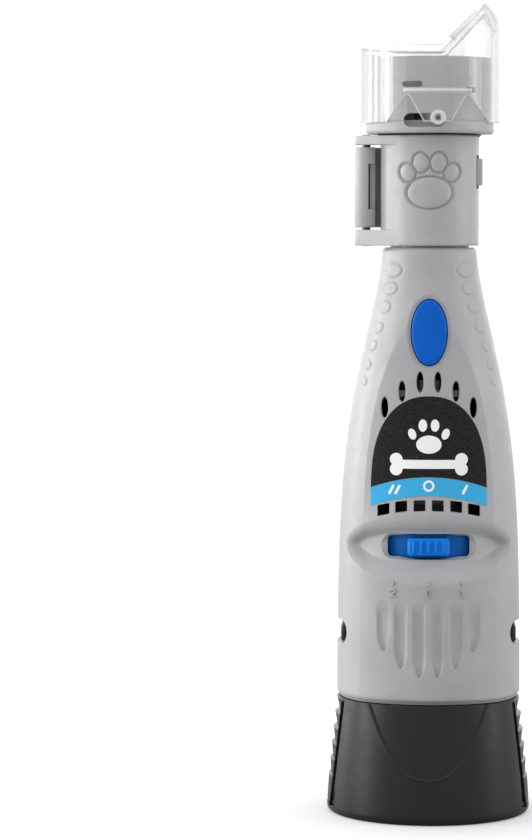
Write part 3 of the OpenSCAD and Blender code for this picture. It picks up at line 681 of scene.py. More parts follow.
def grip_height(angle, z):
    """Raised grip spots that shrink as they run down each flank."""
    raised, groove = 0.15, 0.12
    height = np.zeros_like(z)
    for i, spot_z in enumerate(grip_z):
        spot_angle = math.radians(47 + 16 * (1 - math.exp(-(i / 3.3) ** 2)))
        half_w = 2.9 * 0.87**i
        half_h = 1.75 - 0.09 * i
        arc = (np.abs(angle) - spot_angle) * body_radius(z)
        away = np.sqrt((arc / half_w) ** 2 + ((z - spot_z) / half_h) ** 2)
        height += raised * (1 - step(0.8, 1.0, away))
        height -= groove * np.exp(-(((away - 1.06) / 0.09) ** 2))
    return height


def button_well(x, z):
    """Shallow ring sunk round the lock button."""
    half_w, half_h = button_size[0] + 0.9, button_size[1] + 0.9
    away = np.sqrt((x / half_w) ** 2 + ((z - button_z) / half_h) ** 2)
    return 0.3 * (1 - step(0.93, 1.03, away))


def relief(x, z, angles):
    """What stands out of the housing's plain surface, or in: flutes, grips and both ends."""
    out = np.where(is_ahead(angles), -flute_depth(x, z) - button_well(x, z), 0)
    out += grip_height(angles, z)
    out -= 0.7 * (1 - step(0, 1.3, z - seam_z)) + 0.6 * step(-0.9, 0, z - neck_z)
    return out


def is_ahead(angles):
    """Whether an angle looks at the front, where the panel shapes the housing."""
    return np.abs(angles) < math.radians(79)


def housing_loft(rows, angles, front_of, inset, out_of):
    """A skin round the housing: front_of shapes its front, out_of what stands out of it."""
    rings = []
    for z in rows:
        height = np.full_like(angles, z)
        r = body_radius(height) - inset
        x = r * np.sin(angles)
        y = np.where(is_ahead(angles), -front_of(x, height), -r * np.cos(angles))
        grow = 1 + out_of(x, height, angles) / np.hypot(x, y)
        rings.append(np.stack([x * grow, y * grow, height], 1))
    return loft(rings)


def inner_skin(rows, wider=0.0):
    """The housing's inner space, made wider on request."""
    return housing_loft(rows, skin_angles(2.0, 4.0), inner_distance, wall, lambda *_: wider)


def skin_angles(fine, coarse):
    """Angles round the housing from the front, close together on the front and flanks."""
    near = np.arange(-80, 80, fine)
    far = np.arange(80, 280, coarse)
    return wrap(np.radians(np.concatenate([near, far])))


def wrap(angles):
    return (angles + np.pi) % (2 * np.pi) - np.pi


def at_front(outline, lift):
    """A ring laid on the housing's front, lifted by lift."""
    y = -(front_distance(outline[:, 0], outline[:, 1]) + lift)
    return ring_y(outline, y)


def hole(outline_of, centre, lips):
    """Cutter for a hole in the front: outline_of(grow) laid at each (grow, lift) of lips."""
    rings = [ring_y(outline_of(lips[0][0]) + centre, -30.0)]
    rings += [at_front(outline_of(grow) + centre, lift) for grow, lift in lips]
    return loft(rings)


def add_supports(body):
    """Nose ring, the rings that hold the motor, screw bosses and the bearing's seat."""
    nose_r, bore_r = 9.5, 6
    add(body, revolved([(0, neck_z - 1), (nose_r, neck_z - 1), (nose_r, nose_z - 0.5),
                        (nose_r - 0.4, nose_z), (0, nose_z)], 96))
    rows = np.arange(40, 129, 1.2)
    for z in motor_ring_z:
        ring = new_piece("ring", inner_skin(rows, 0.5))
        crop(ring, box_skin((-40, -40, z), (40, 40, z + 1.6)))
        cut(ring, rod(motor_ring_r, z - 1, z + 3))
        add(body, ring)
    bosses = join_all([bar_y(x, z, 3.7, -30, 30) for x, z, seat in screw_places])
    crop(bosses, inner_skin(rows, 0.5))
    add(body, bosses)
    cut(body, revolved([(0, 126), (bore_r, 126), (bore_r, bearing_z0), (bearing_r, bearing_z0),
                        (bearing_r, bearing_z1), (bore_r, bearing_z1), (bore_r, nose_z + 2),
                        (0, nose_z + 2)], 96))


def leaning_vent(grow, lean):
    """Outline of a square vent that leans to follow the badge's foot."""
    outline = rounded_box(1.4 + grow, 1.3 + grow, 0.22 + grow, 4)
    outline[:, 1] -= outline[:, 0] * lean
    return outline


def cut_front(body):
    """Vents above and below the badge, the slot with its sloping rim, the button's hole."""
    lips = [(0.5, 1.5), (0.28, 0.05), (0.0, -0.35), (0.0, -3.5)]
    for column, z in zip(columns, upper_vent_z):
        for side in (-1, 1):
            vent = hole(lambda g: ellipse(0.8 + g, 2.45 + g, 32), (side * column * 0.98, z), lips)
            cut(body, vent)
    lips = [(0.3, 1.5), (0.12, 0.02), (0.0, -0.2), (0.0, -5.0)]
    for column, z in zip(columns, lower_vent_z):
        for x in (-column, column):
            cut(body, hole(lambda g: leaning_vent(g, x * 0.02), (x, z), lips))
    lips = [(1.6, 1.2), (1.6, 0.02), (0.25, -0.85), (0.0, -1.0), (0.0, -6.0)]
    cut(body, hole(lambda g: rounded_box(9.8 + g, 2.55 + 0.36 * g, 1.1 + 1.2 * g, 10),
                   (0, slot_z), lips))
    half_w, half_h = button_size[0] + 0.22, button_size[1] + 0.22
    cut(body, hole(lambda g: ellipse(half_w + g, half_h + g, 72), (0, button_z),
                   [(0.1, 2.0), (0.0, -0.6), (0.0, -5.0)]))


def make_housing():
    outer = housing_loft(np.arange(seam_z, neck_z + 0.01, 0.3), skin_angles(0.7, 2.5),
                         front_distance, 0.0, relief)
    body = new_piece("housing", outer)
    cut(body, inner_skin(np.concatenate([[seam_z - 2], np.arange(seam_z, 129.5, 1.0)])))
    add_supports(body)

    # room for the slider's strip behind the pocket's floor
    room = new_piece("room", rod(strip_r + 0.1, slot_z - 3.1, slot_z + 3.1))
    cut(body, crop(room, box_skin((-15.2, -30, 0), (15.2, 0, 200))))
    cut_front(body)

    # windows for the latch hooks, screw recesses, and a shelf behind the battery contacts
    window = stadium(10.2, 2.8) + (0, 44.6)
    for side in (-1, 1):
        cut(body, loft([np.column_stack([np.full(len(window), side * x), window]) for x in (17, 30)]))
    for x, z, seat in screw_places:
        cut(body, bar_y(x, z, 2.7, seat, 30))
        cut(body, bar_y(x, z, 1.35, -9, seat + 1))
    half_turn = np.linspace(0.02, np.pi - 0.02, 40)
    shelf = (body_radius(58.0) - 1.4) * np.stack([np.cos(half_turn), np.sin(half_turn)], 1)
    add(body, solid_z(shelf, 57.3, 58.5))

    rear = new_object("rear_shell", body.data.copy())
    body.name = "front_shell"
    crop(body, box_skin((-40, -40, 0), (40, -0.04, 200)))
    crop(rear, box_skin((-40, 0.04, 0), (40, 40, 200)))
    finish_piece(body, "housing", grey_plastic, "front_housing")
    finish_piece(rear, "housing", grey_plastic, "rear_housing")


# ---- Badge, print and numerals on the housing's front ----


def badge_place(u, v):
    """Where a point of the badge lies: u runs across from -1 to 1, v from foot to top."""
    x = u * badge_half * np.clip(1 - v**3.5, 0, 1) ** (1 / 2.4)
    foot = badge_foot_z - badge_foot_r + np.sqrt(badge_foot_r**2 - x**2)
    return x, foot + v * badge_rise


def film(name, x, z, low, high):
    """A thin closed sheet over a grid of places on the front, between two lifts."""
    rows, cols = x.shape
    front = front_distance(x, z)
    top = np.stack([x, -(front + high), z], 2).reshape(-1, 3)
    bottom = np.stack([x, -(front + low), z], 2).reshape(-1, 3)
    index = np.arange(rows * cols).reshape(rows, cols)
    a, b, c, d = index[:-1, :-1], index[:-1, 1:], index[1:, 1:], index[1:, :-1]
    quads = np.stack([a, b, c, d], 2).reshape(-1, 4)
    under = quads[:, ::-1] + rows * cols
    rim = np.concatenate([index[0, :-1], index[:-1, -1], index[-1, :0:-1], index[:0:-1, 0]])
    after = np.roll(rim, -1)
    wall_faces = np.stack([after, rim, rim + rows * cols, after + rows * cols], 1)
    faces = np.concatenate([quads, under, wall_faces]).tolist()
    return new_piece(name, (np.concatenate([top, bottom]), faces))


def badge_film(name, v0, v1, rows):
    """Part of the badge, from v0 to v1, as a film whose rows draw together near the top."""
    t = np.linspace(0, 1, rows)
    v = v0 + (v1 - v0) * (1 - (1 - t) ** 1.7)
    x, z = badge_place(*np.meshgrid(np.linspace(-1, 1, 90), v))
    return film(name, x, z, -0.1, 0.14)


def print_on(name, shapes, reach, lifts, surface, slot, less=None):
    """Raised print: a thin sheet over the box reach, kept only where the shapes are."""
    (x0, z0), (x1, z1) = reach
    x, z = np.meshgrid(*[np.linspace(low, high, max(8, int((high - low) / 0.35)))
                         for low, high in ((x0, x1), (z0, z1))])
    sheet = film(name, x, z, *lifts)
    crop(sheet, join_all([solid_y(shape, -30.0, -5.0) for shape in shapes]))
    if less is not None:
        cut(sheet, solid_y(less, -30.0, -5.0))
    finish_piece(sheet, "housing", surface)


def spot(x, z, half_w, half_h=None, turn=0.0, n=40):
    """An oval outline, turned by turn degrees."""
    points = ellipse(half_w, half_h or half_w, n)
    a = math.radians(turn)
    turned = points @ np.array([[math.cos(a), math.sin(a)], [-math.sin(a), math.cos(a)]])
    return turned + (x, z)


def dash(x0, z0, x1, z1, half):
    """A straight stroke with round ends."""
    start, end = np.array([x0, z0], float), np.array([x1, z1], float)
    length = np.linalg.norm(end - start)
    along = (end - start) / max(length, 1e-9)
    across = np.array([-along[1], along[0]])
    outline = stadium(length / 2 + half, half, 8)
    return (start + end) / 2 + outline[:, :1] * along + outline[:, 1:] * across


def paw(x, z, size):
    """Outlines of a plain paw print: one pad and four toes."""
    shapes = [(0, -0.22, 0.56, 0.4, 0, 56)]
    for side in (-1, 1):
        shapes.append((side * 0.27, 0.62, 0.19, 0.27, 0, 40))
        shapes.append((side * 0.74, 0.24, 0.17, 0.25, side * -22, 40))
    return [spot(x + dx * size, z + dz * size, half_w * size, half_h * size, turn, n)
            for dx, dz, half_w, half_h, turn, n in shapes]


def bone(x, z, half, thick):
    """Outlines of a plain bone lying flat."""
    shapes = [rounded_box(half, thick * 0.5, thick * 0.2) + (x, z)]
    for sx in (-1, 1):
        for sz in (-1, 1):
            shapes.append(spot(x + sx * half, z + sz * thick * 0.55, thick * 0.72))
    return shapes


def make_badge():
    split = 0.003
    black = badge_film("badge_black", band_share + split, 0.9995, 64)
    finish_piece(black, "housing", label_black, "badge")
    band = badge_film("badge_band", 0.0, band_share - split, 10)
    finish_piece(band, "housing", label_blue)

    white = ((0.10, 0.19), label_white, "badge_black")
    print_on("badge_paw", paw(0.0, 92.0, 5.4), ((-7, 86), (7, 99)), *white)
    print_on("badge_bone", bone(0.0, 86.1, 7.8, 2.1), ((-11, 82), (11, 90)), *white)

    # speed marks: two strokes for fast, a ring for off, one stroke for slow
    strokes = [dash(x, 79.2, x + 0.9, 80.9, 0.3) for x in (-9.4, -7.9, 8.2)]
    print_on("band_strokes", strokes, ((-11, 77), (11, 83)), *white)
    ring, middle = spot(0, 80.95, 1.35), spot(0, 80.95, 0.85)
    print_on("band_ring", [ring], ((-3, 78), (3, 84)), *white, middle)


def make_numerals():
    """Raised 2, 0 and 1 for the slider's three places, each with a tick above it."""
    z = 55.4

    def drawn(x, points):
        """Strokes from each point to the next, round a numeral's middle at x."""
        places = [(x + dx, z + dz) for dx, dz in points]
        return [dash(*start, *end, 0.2) for start, end in zip(places, places[1:])]

    left, middle, right = -8.5, 0.0, 8.2
    shapes = drawn(left, [(-0.6, 0.45), (-0.3, 0.8), (0.3, 0.8), (0.55, 0.35), (-0.6, -0.85),
                          (0.6, -0.85)])
    shapes += drawn(right, [(-0.5, 0.45), (0, 0.85), (0, -0.85)])
    shapes += drawn(right, [(-0.45, -0.85), (0.45, -0.85)])
    for x in (left, middle, right):
        shapes += drawn(x, [(0, 1.9), (0, 2.8)])
    look = ((-0.15, 0.34), grey_plastic, "housing_plastic")
    print_on("numerals", shapes, ((-10.5, 53), (10, 59)), *look)
    ring, inside = spot(0, z, 0.72, 1.0), spot(0, z, 0.4, 0.68)
    print_on("numeral_zero", [ring], ((-2, 53), (2, 58)), *look, inside)


# ---- Lock button and speed slider ----


def make_button():
    """Pin, flange and the crowned oval head, as one moulding."""
    half_w, half_h = button_size
    roll = 0.55

    def oval(a, b):
        return ellipse(a, b, 96) + (0, button_z)

    stem = ((1.3, 1.3, 0), (1.4, 1.4, 0.2), (1.4, 1.4, 4), (5.3, 8.4, 4), (5.4, 8.5, 4.8),
            (half_w, half_h, 4.9))
    rings = [ring_y(oval(a, b), button_tip_y - back) for a, b, back in stem]
    for a in np.linspace(0, 1, 7) * math.pi / 2:
        inwards = roll * (1 - math.cos(a))
        lift = -0.1 + 0.62 * math.sin(a)
        rings.append(at_front(oval(half_w - inwards, half_h - inwards), lift))
    for share in (0.8, 0.6, 0.4, 0.2, 0.04):
        crown = 0.52 + 0.16 * (1 - share**2)
        rings.append(at_front(oval(share * (half_w - roll), share * (half_h - roll)), crown))
    button = new_piece("lock_button_moulding", loft(rings))
    finish_piece(button, "lock_button", button_plastic, "lock_button")


def make_slider():
    """Curved strip with a ribbed thumb grip, and the tongue that moves the switch."""
    strip = rounded_box(0.6, 3.0, 0.25, 4) + (strip_r - 0.6, slot_z)
    turns = np.radians(np.linspace(-56, 56, 90))
    rings = [round_ring(strip[:, 0], a, strip[:, 1]) for a in turns]
    slider = new_piece("slider_moulding", loft(rings))

    # the grip: a pad with rolled edges, dished across, and five ribs on it
    half_w, half_h = 5.07, 2.15
    rings = []
    for a in np.linspace(0, 1, 9) * math.pi / 2:
        inwards = 0.75 * (1 - math.cos(a))
        outline = rounded_box(half_w - inwards, half_h - inwards * 0.8, 0.9 - 0.5 * inwards, 10)
        dish = 0.5 * (outline[:, 0] / half_w) ** 2
        rings.append(ring_y(outline + (0, slot_z), dish - (17.9 + 1.15 * math.sin(a))))
    root = rings[0].copy()
    root[:, 1] = -strip_r + 0.9
    add(slider, loft([root] + rings))
    rib_y, rib_r, rib_half = -19.0, 0.42, 1.75
    for x in (-3.5, -1.75, 0, 1.75, 3.5):
        rings = []
        for share in np.linspace(-1, 1, 11):
            r = rib_r * math.sqrt(max(1 - share**4, 0.02))
            outline = circle(r, 16, x, rib_y + 0.5 * (x / half_w) ** 2)
            rings.append(ring_at(outline, slot_z + share * rib_half))
        add(slider, loft(rings))
    add(slider, soft_box((-0.8, -15.2, slot_z - 1.2), (0.8, -11.5, slot_z + 1.2), 0.2))
    finish_piece(slider, "speed_slider", slider_plastic, "speed_slider")

    # painted shade: the strip lies back in the slot, so it gets a darker copy of the grip's blue
    slider.data.materials.append(slider_painted_shade)
    for face in slider.data.polygons:
        if math.hypot(face.center.x, face.center.y) < (strip_r + 0.2) * MM:
            face.material_index = 1


# ---- Guard ----


def knuckle_skin(z0, z1):
    return solid_z(circle(knuckle_r, 64, hinge_x), z0, z1, 0.3)


def web_outline(side):
    """Web from the knuckle to the sleeve, tangent to both, on the front or the rear."""
    lean = math.asin((sleeve_r - knuckle_r) / -hinge_x)
    normal = np.array([-math.sin(lean), side * math.cos(lean)])
    flat = side * 0.1
    return np.array([(hinge_x - knuckle_r + 0.9, flat), knuckle_r * normal + (hinge_x, 0),
                     sleeve_r * normal, (-sleeve_in_r - 0.45, flat)])


def pin_bore(z0, z1):
    return solid_z(circle(pin_r + 0.05, 48, hinge_x), z0, z1)


def paw_relief(x, z):
    """Relief of the paw on the door: grooved outlines with slightly puffed pads."""
    centre_z = guard_z0 + 15.6
    shapes = [(0.0, -2.9, 5.6, 3.9, 0.0)]
    for side in (-1, 1):
        shapes.append((side * 2.15, 4.3, 2.05, 2.5, side * -5.0))
        shapes.append((side * 5.35, 1.9, 1.95, 2.35, side * -22.0))
    groove = np.zeros_like(x)
    puff = np.zeros_like(x)
    for place_x, place_z, half_w, half_h, turn in shapes:
        a = math.radians(turn)
        dx = x - place_x
        dz = z - centre_z - place_z
        u = (dx * math.cos(a) + dz * math.sin(a)) / half_w
        v = (-dx * math.sin(a) + dz * math.cos(a)) / half_h
        away = (np.sqrt(u**2 + v**2) - 1) * min(half_w, half_h)
        groove = np.maximum(groove, np.exp(-((away / 0.21) ** 2)))
        puff = np.maximum(puff, 1 - step(-1.4, -0.1, away))
    return 0.22 * puff - 0.6 * groove


def make_guard_door():
    angles = np.radians(np.concatenate([np.arange(-95, 95, 0.9), np.arange(95, 265, 6)]))
    across = sleeve_r * np.sin(angles)
    front = np.abs(wrap(angles)) < 1.4
    near_rim = np.array([0, 0.1, 0.25, 0.45])
    rows = np.concatenate([guard_z0 + near_rim, np.arange(guard_z0 + 0.7, door_z1 - 0.6, 0.22),
                           door_z1 - near_rim[::-1]])
    rings = []
    for z in rows:
        ease = 0.35 * (1 - step(0, 0.45, min(z - guard_z0, door_z1 - z)) ** 0.5)
        raised = np.where(front, paw_relief(across, np.full_like(across, z)), 0)
        rings.append(round_ring(sleeve_r - ease + raised, angles, z))
    door = new_piece("guard_door_moulding", loft(rings))
    for z0, z1 in ear_z:
        add(door, knuckle_skin(z0, z1))
        add(door, solid_z(web_outline(-1), z0, z1, 0.3))
    cut(door, rod(sleeve_in_r, 120, 180))
    front_half = box_skin((-40, -40, 100), (40, -0.1, 200))
    crop(door, join_all([front_half] + [knuckle_skin(z0 - 0.2, z1 + 0.2) for z0, z1 in ear_z]))
    cut(door, pin_bore(120, 180))
    cut(door, soft_box((10.7, -4, 152), (20, 1, 160), 0.3))
    finish_piece(door, "guard_door", guard_plastic, "guard_door")


def make_guard_shell():
    """Flange, collar, the rear half of the sleeve, the middle knuckle and the tongue."""
    edge, rim_z, collar_z = 0.5, flange_z1 - 0.6, collar_top_z - 0.5
    ring = [(0, flange_z0), (14.6, flange_z0)]
    ring += fillet(15.0, flange_z0, flange_r, flange_z0 + 0.9)
    ring.append((flange_r, rim_z))
    ring += rolled_rim(flange_r, rim_z, edge, 0.6, np.linspace(0, math.pi / 2, 6))
    ring += [(collar_r + 0.25, flange_z1), (collar_r, flange_z1 + 0.3), (collar_r, collar_z)]
    ring += rolled_rim(collar_r, collar_z, edge, 0.5, np.linspace(0.2, math.pi / 2, 5))
    ring.append((0, collar_top_z))
    shell = new_piece("guard_shell_moulding", revolved(ring, 220))
    bore_r = 13.1
    cut(shell, revolved([(0, flange_z1 + 0.2), (bore_r, flange_z1 + 0.2),
                         (bore_r, collar_top_z - 0.3), (bore_r + 0.3, collar_top_z + 0.1),
                         (0, collar_top_z + 0.1)], 160))

    # rear half of the sleeve, with its knuckle and the catch's tongue
    half = new_piece("sleeve", revolved([
        (0, guard_z0), (sleeve_r - 0.3, guard_z0), (sleeve_r, guard_z0 + 0.3),
        (sleeve_r, flange_z0 - 0.9), (sleeve_r + 0.9, flange_z0 + 0.2), (0, flange_z0 + 0.2)], 220))
    add(half, solid_z(web_outline(1), *knuckle_z, 0.3))
    crop(half, box_skin((-40, 0.1, 100), (40, 40, 200)))
    add(half, knuckle_skin(*knuckle_z))
    cut(half, box_skin((hinge_x + 2.2, -9, 141), (-sleeve_r, 3.6, 163.5)))
    tongue_z0, tongue_z1 = 152.8, 159.2
    add(half, soft_box((11.2, -3.0, tongue_z0), (11.95, 3.0, tongue_z1), 0.25))
    add(half, soft_box((11.25, -2.4, tongue_z0), (12.8, 0.6, tongue_z1), 0.6))
    add(shell, half)
    cut(shell, rod(sleeve_in_r, 120, flange_z1 + 1))
    cut(shell, pin_bore(120, flange_z0 + 0.4))
    cut(shell, soft_box((hinge_x + 0.55, -5, 147), (hinge_x + 2.4, -0.6, 158), 0.3))

    # channel for the cap's nub, two small slots in the collar and the long notch below them
    channel = rounded_box(6.1, 3.0, 0.5, 6) + (0, -16.85)
    cut(shell, solid_z(channel, flange_z1 + 0.05, collar_top_z + 1))
    for x, z, half_w, half_h, n, depth in (
            (-4.2, 176.8, 2.4, 0.7, 10, 9.0), (9.7, 175.4, 1.2, 0.7, 10, 9.0),
            (-1.3, 168.2, 4.95, 1.65, 16, 11.6)):
        cut(shell, solid_y(stadium(half_w, half_h, n) + (x, z), -20.0, -depth))
    finish_piece(shell, "housing", guard_plastic, "guard_shell")


# ---- Clear cap ----


def cap_solid(inset, z0):
    """Round body with a rolled shoulder, cropped by the flat top and the slanted plate."""
    top = cap_high[2] + 1.3 - inset
    r = cap_r - inset
    shoulder = 8.4 - inset
    profile = [(0, z0), (r - 0.15, z0), (r, z0 + 0.15)]
    profile += rolled_rim(r, top - shoulder, shoulder, shoulder, np.linspace(0, math.pi / 2, 40))
    body = new_piece("cap", revolved(profile + [(0, top)], 240))
    flat = cap_flat_z - inset
    start = slope_x + inset * (math.sqrt(2) - 1)
    bend = 1.2
    side_view = [[-40, 100], [40, 100], [40, flat + 40 - start], [start + bend, flat + bend],
                 [start + 0.35 * bend, flat + 0.15 * bend], [start - 0.3 * bend, flat], [-40, flat]]
    return crop(body, solid_y(np.array(side_view), -30.0, 30.0))


def make_cap():
    foot = cap_low[2]
    cap = cap_solid(0, foot)
    cut(cap, cap_solid(cap_wall, foot - 5))

    # nail hole, square to the slanted plate
    reach = 5.6
    along = np.array([-math.sqrt(0.5), 0, math.sqrt(0.5)])
    across = np.array([math.sqrt(0.5), 0, math.sqrt(0.5)])
    centre = np.array([slope_x + reach, 0, cap_flat_z + reach])
    t = full_turn(72)[:, None]
    rings = [centre + far * along + r * np.cos(t) * across + r * np.sin(t) * np.array([0, 1, 0])
             for far, r in ((-7, 4.4), (-1.9, 4.4), (-0.25, 4.4), (0.05, 4.65), (3, 5.6))]
    cut(cap, loft(rings))

    # two slanting notches leave a tongue between them, turned a little to the right
    middle = 1.85
    notch = np.array([[2.7, -1], [6.6, 5.9], [6.95, 6.35], [7.5, 6.35], [7.9, 5.9], [12.3, -0.2],
                      [12.3, -1]])
    for side in (-1, 1):
        cut(cap, solid_y(notch * (side, 1) + (middle, foot), -30.0, -8.0))

    # the rib that joins the notches' tops, and the ring nub on the tongue
    section = ((0, 7.15), (cap_r + 0.3, 7.2), (cap_r + 0.45, 7.5), (cap_r + 0.3, 7.8), (0, 7.85))
    rib = new_piece("rib", revolved([(r, foot + up) for r, up in section], 240))
    cut(rib, rod(cap_r - 1.0, 100, 250))
    crop(rib, box_skin((middle - 8.1, -30, 100), (middle + 8.1, 0, 250)))
    add(cap, rib)
    nub_x, nub_z = middle + 0.15, foot + 1.0
    add(cap, bar_y(nub_x, nub_z, 1.7, -cap_r - 0.4, -cap_r + 2.4))
    cut(cap, bar_y(nub_x, nub_z, 0.85, -cap_r - 2, -cap_r + 1.2))
    finish_piece(cap, "nail_cap", clear, "nail_cap")


# ---- Battery pack ----


def pack_radius(z):
    return foot_r - (foot_r - pack_top_r) * np.clip(z / seam_z, 0, 1) ** 1.4


def pack_rings(rows, angles, inset=0.0):
    """The pack's outside, with its rounded foot and the curved ledge front and rear."""
    foot_round, foot_in = 1.8, 1.4
    ledge_half, ledge_foot_z, ledge_rise = 14.1, 11.1, 17.3
    rings = []
    for z in rows:
        r = np.full_like(angles, pack_radius(z)) - inset
        if inset == 0:
            up = min(z, foot_round) / foot_round
            r -= foot_in * (1 - math.sqrt(1 - (1 - up) ** 2))
            across = np.abs(r * np.sin(angles)) / ledge_half
            curve = ledge_foot_z + ledge_rise * across**2.5
            slope = ledge_rise * 2.5 / ledge_half * across**1.5
            away = (z - curve) / np.sqrt(1 + slope**2)
            ledge = 0.32 * step(-0.12, 0.12, away)
            lip = 0.14 * np.exp(-(((away + 0.3) / 0.2) ** 2))
            r = r + np.where(np.abs(np.cos(angles)) > 0.6, lip - ledge, 0)
        rings.append(round_ring(r, angles, z))
    return rings


def latch_room(side):
    return solid_z(rounded_box(8.0, 9.75, 0.8, 6) + (side * 24.9, 0), 2.0, 40)


def latch_slit(side, end):
    """Slit between a latch and the case, cut in from the front or the rear end."""
    outline = np.array([[20.3, 27.5], [21.0, 27.5], [24.0, 1.7], [23.3, 1.7]]) * (side, 1)
    return solid_y(outline, end * 3.5, end * 14)


def side_block(side, x, half_w, z0):
    """A block from x outwards, for flattening one side of a round part."""
    low_x, high_x = sorted((side * x, side * 40))
    return box_skin((low_x, -half_w, z0), (high_x, half_w, 60))


def make_battery():
    top = seam_z - 0.15
    rows = np.concatenate([[0, 0.08, 0.2, 0.4, 0.7, 1.1, 1.5, 1.8], np.arange(2.2, top - 0.3, 0.2),
                           [top - 0.25, top]])
    case = new_piece("pack_moulding", loft(pack_rings(rows, np.radians(np.arange(0, 360, 0.6)))))
    coarse = np.radians(np.arange(0, 360, 4))
    cavity = new_piece("cavity", loft(pack_rings([pack_floor_z, 8, 14, 20, 30], coarse, pack_wall)))
    for side in (-1, 1):
        cut(cavity, side_block(side, 15.7, 11.4, -5))
    cut(case, cavity)
    for side in (-1, 1):
        cut(case, latch_room(side))
        cut(case, bar_y(side * pivot_x, pivot_z, 1.05, -10.8, 10.8))
        for end in (-1, 1):
            cut(case, latch_slit(side, end))
    finish_piece(case, "battery", pack_plastic, "battery_case")

    lid_r, lid_top_z = 20.2, lid_z + 1.85
    lid = new_piece("pack_stem", revolved([(0, lid_z), (lid_r, lid_z), (lid_r, lid_z + 1.5),
                                           (lid_r - 0.3, lid_top_z), (0, lid_top_z)], 120))
    for side in (-1, 1):
        cut(lid, side_block(side, 16.8, 20, 0))
    t = np.linspace(-1, 1, 40) * math.asin(stem_half / stem_r)
    arc = np.stack([stem_r * np.sin(t), -stem_r * np.cos(t)], 1)
    stem = np.concatenate([arc, -arc])
    add(lid, solid_z(stem, lid_z, 48.0, 0.6))
    cut(lid, solid_z(stem * (1 - stem_wall / stem_r), 20, 46.8))
    for x in (-9, 0, 9):
        cut(lid, box_skin((x - 1.4, -0.45, 46), (x + 1.4, 0.45, 50)))
    finish_piece(lid, "battery", pack_plastic, "battery_stem")


def rib_notch(z):
    """Depth of the notches between the grip ribs: each rib has a ledge on top and a taper."""
    depth, pitch = 0.0, 3.8
    for i in range(5):
        below = (27.95 - pitch * i - z) / pitch
        taper = min(max(below, 0), 1) ** 0.8 * (1 - step(0.93, 1.0, below))
        depth = max(depth, (1.2 - 0.18 * i) * taper)
    return depth


def make_latch(side, name, body, node):
    """Ribbed press panel, pivot bar, arm up into the housing and hook."""
    foot, top, half_w, back_x = 2.3, 28.3, 9.0, 18.6
    rows = np.concatenate([[foot, 2.45, 2.8], np.arange(3.1, 28.1, 0.16), [28.2, top]])
    y = np.linspace(-half_w, half_w, 70)
    back = np.stack([np.full(20, back_x), np.linspace(half_w, -half_w, 20)], 1)
    rings = []
    for z in rows:
        rim = 0.25 * (1 - step(0, 0.5, min(z - foot, top - z)))
        r = pack_radius(z) - 0.1 - rim - rib_notch(z)
        outer_x = np.sqrt(r**2 - y**2) - 0.3 * (np.abs(y) / half_w) ** 24
        rings.append(ring_at(np.concatenate([np.stack([outer_x, y], 1), back]), z))
    latch = new_piece(name, loft(rings))
    cut(latch, loft([ring_at(circle(pack_radius(z) - 2.2, 96), z) for z in (-5, 2.0, 10, 20, 40)]))
    add(latch, soft_box((18.5, -5.6, 22), (19.7, 5.6, 47.1), 0.3))
    hook = rounded_box(1.35, 6.4, 0.9, 8)
    places = ((19.6, 42.1), (19.9, 42.6), (19.9, 45.6), (19.55, 46.5), (19.0, 47.1))
    add(latch, loft([ring_at(hook + (x, 0), z) for x, z in places]))
    add(latch, soft_box((18.55, -5.6, 22.3), (21.2, 5.6, 26.2), 0.3))
    add(latch, bar_y(pivot_x, pivot_z, 1.0, -10.6, 10.6))
    add(latch, soft_box((19.7, -8.9, 3.3), (23.2, 8.9, 5.9), 0.3))
    for end in (-1, 1):
        cut(latch, latch_slit(1, end))
    if side < 0:
        for v in latch.data.vertices:
            v.co.x, v.co.y = -v.co.x, -v.co.y
    finish_piece(latch, body, latch_plastic, node)


# ---- Springs, disc and other inner pieces ----


def coil_skin(r0, r1, wire, turns, length):
    """Round wire wound along Z from 0 to length."""
    steps = int(turns * 28)
    b = full_turn(10)
    rings = []
    for i in range(steps + 1):
        a = 2 * np.pi * turns * i / steps
        spread = r0 + (r1 - r0) * i / steps + wire * np.cos(b)
        z = wire + (length - 2 * wire) * i / steps
        rings.append(np.stack([spread * np.cos(a), spread * np.sin(a), z + wire * np.sin(b)], 1))
    return loft(rings)


def make_spring(node, skin, turn, origin, body):
    """A coil turned by a 3x3 matrix, moved to origin, and given a mesh of its own."""
    verts, faces = skin
    verts = verts @ np.array(turn, float).T + np.array(origin, float)
    coil = new_piece(node + "_coil", (verts, faces))
    finish_piece(coil, body, steel, node)
    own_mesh(coil)


def make_springs():
    z_to_y = ((1, 0, 0), (0, 0, 1), (0, -1, 0))
    y = node_box("lock_spring")[0][1]
    make_spring("lock_spring", coil_skin(2.1, 3.4, 0.2, 3, 3), z_to_y, (0, y, button_z),
                "housing")
    z = node_box("mandrel_spring")[0][2]
    make_spring("mandrel_spring", coil_skin(1.85, 1.85, 0.22, 4, 4.45), np.eye(3), (0, 0, z),
                "rotor")
    for side, end in ((1, "right"), (-1, "left")):
        z_to_side = ((0, 0, side), (0, 1, 0), (-side, 0, 0))
        x = side * 16.92
        make_spring(f"latch_spring_{end}", coil_skin(1.2, 2.2, 0.2, 3, 1.55), z_to_side,
                    (x, 0, 24.2), "battery")


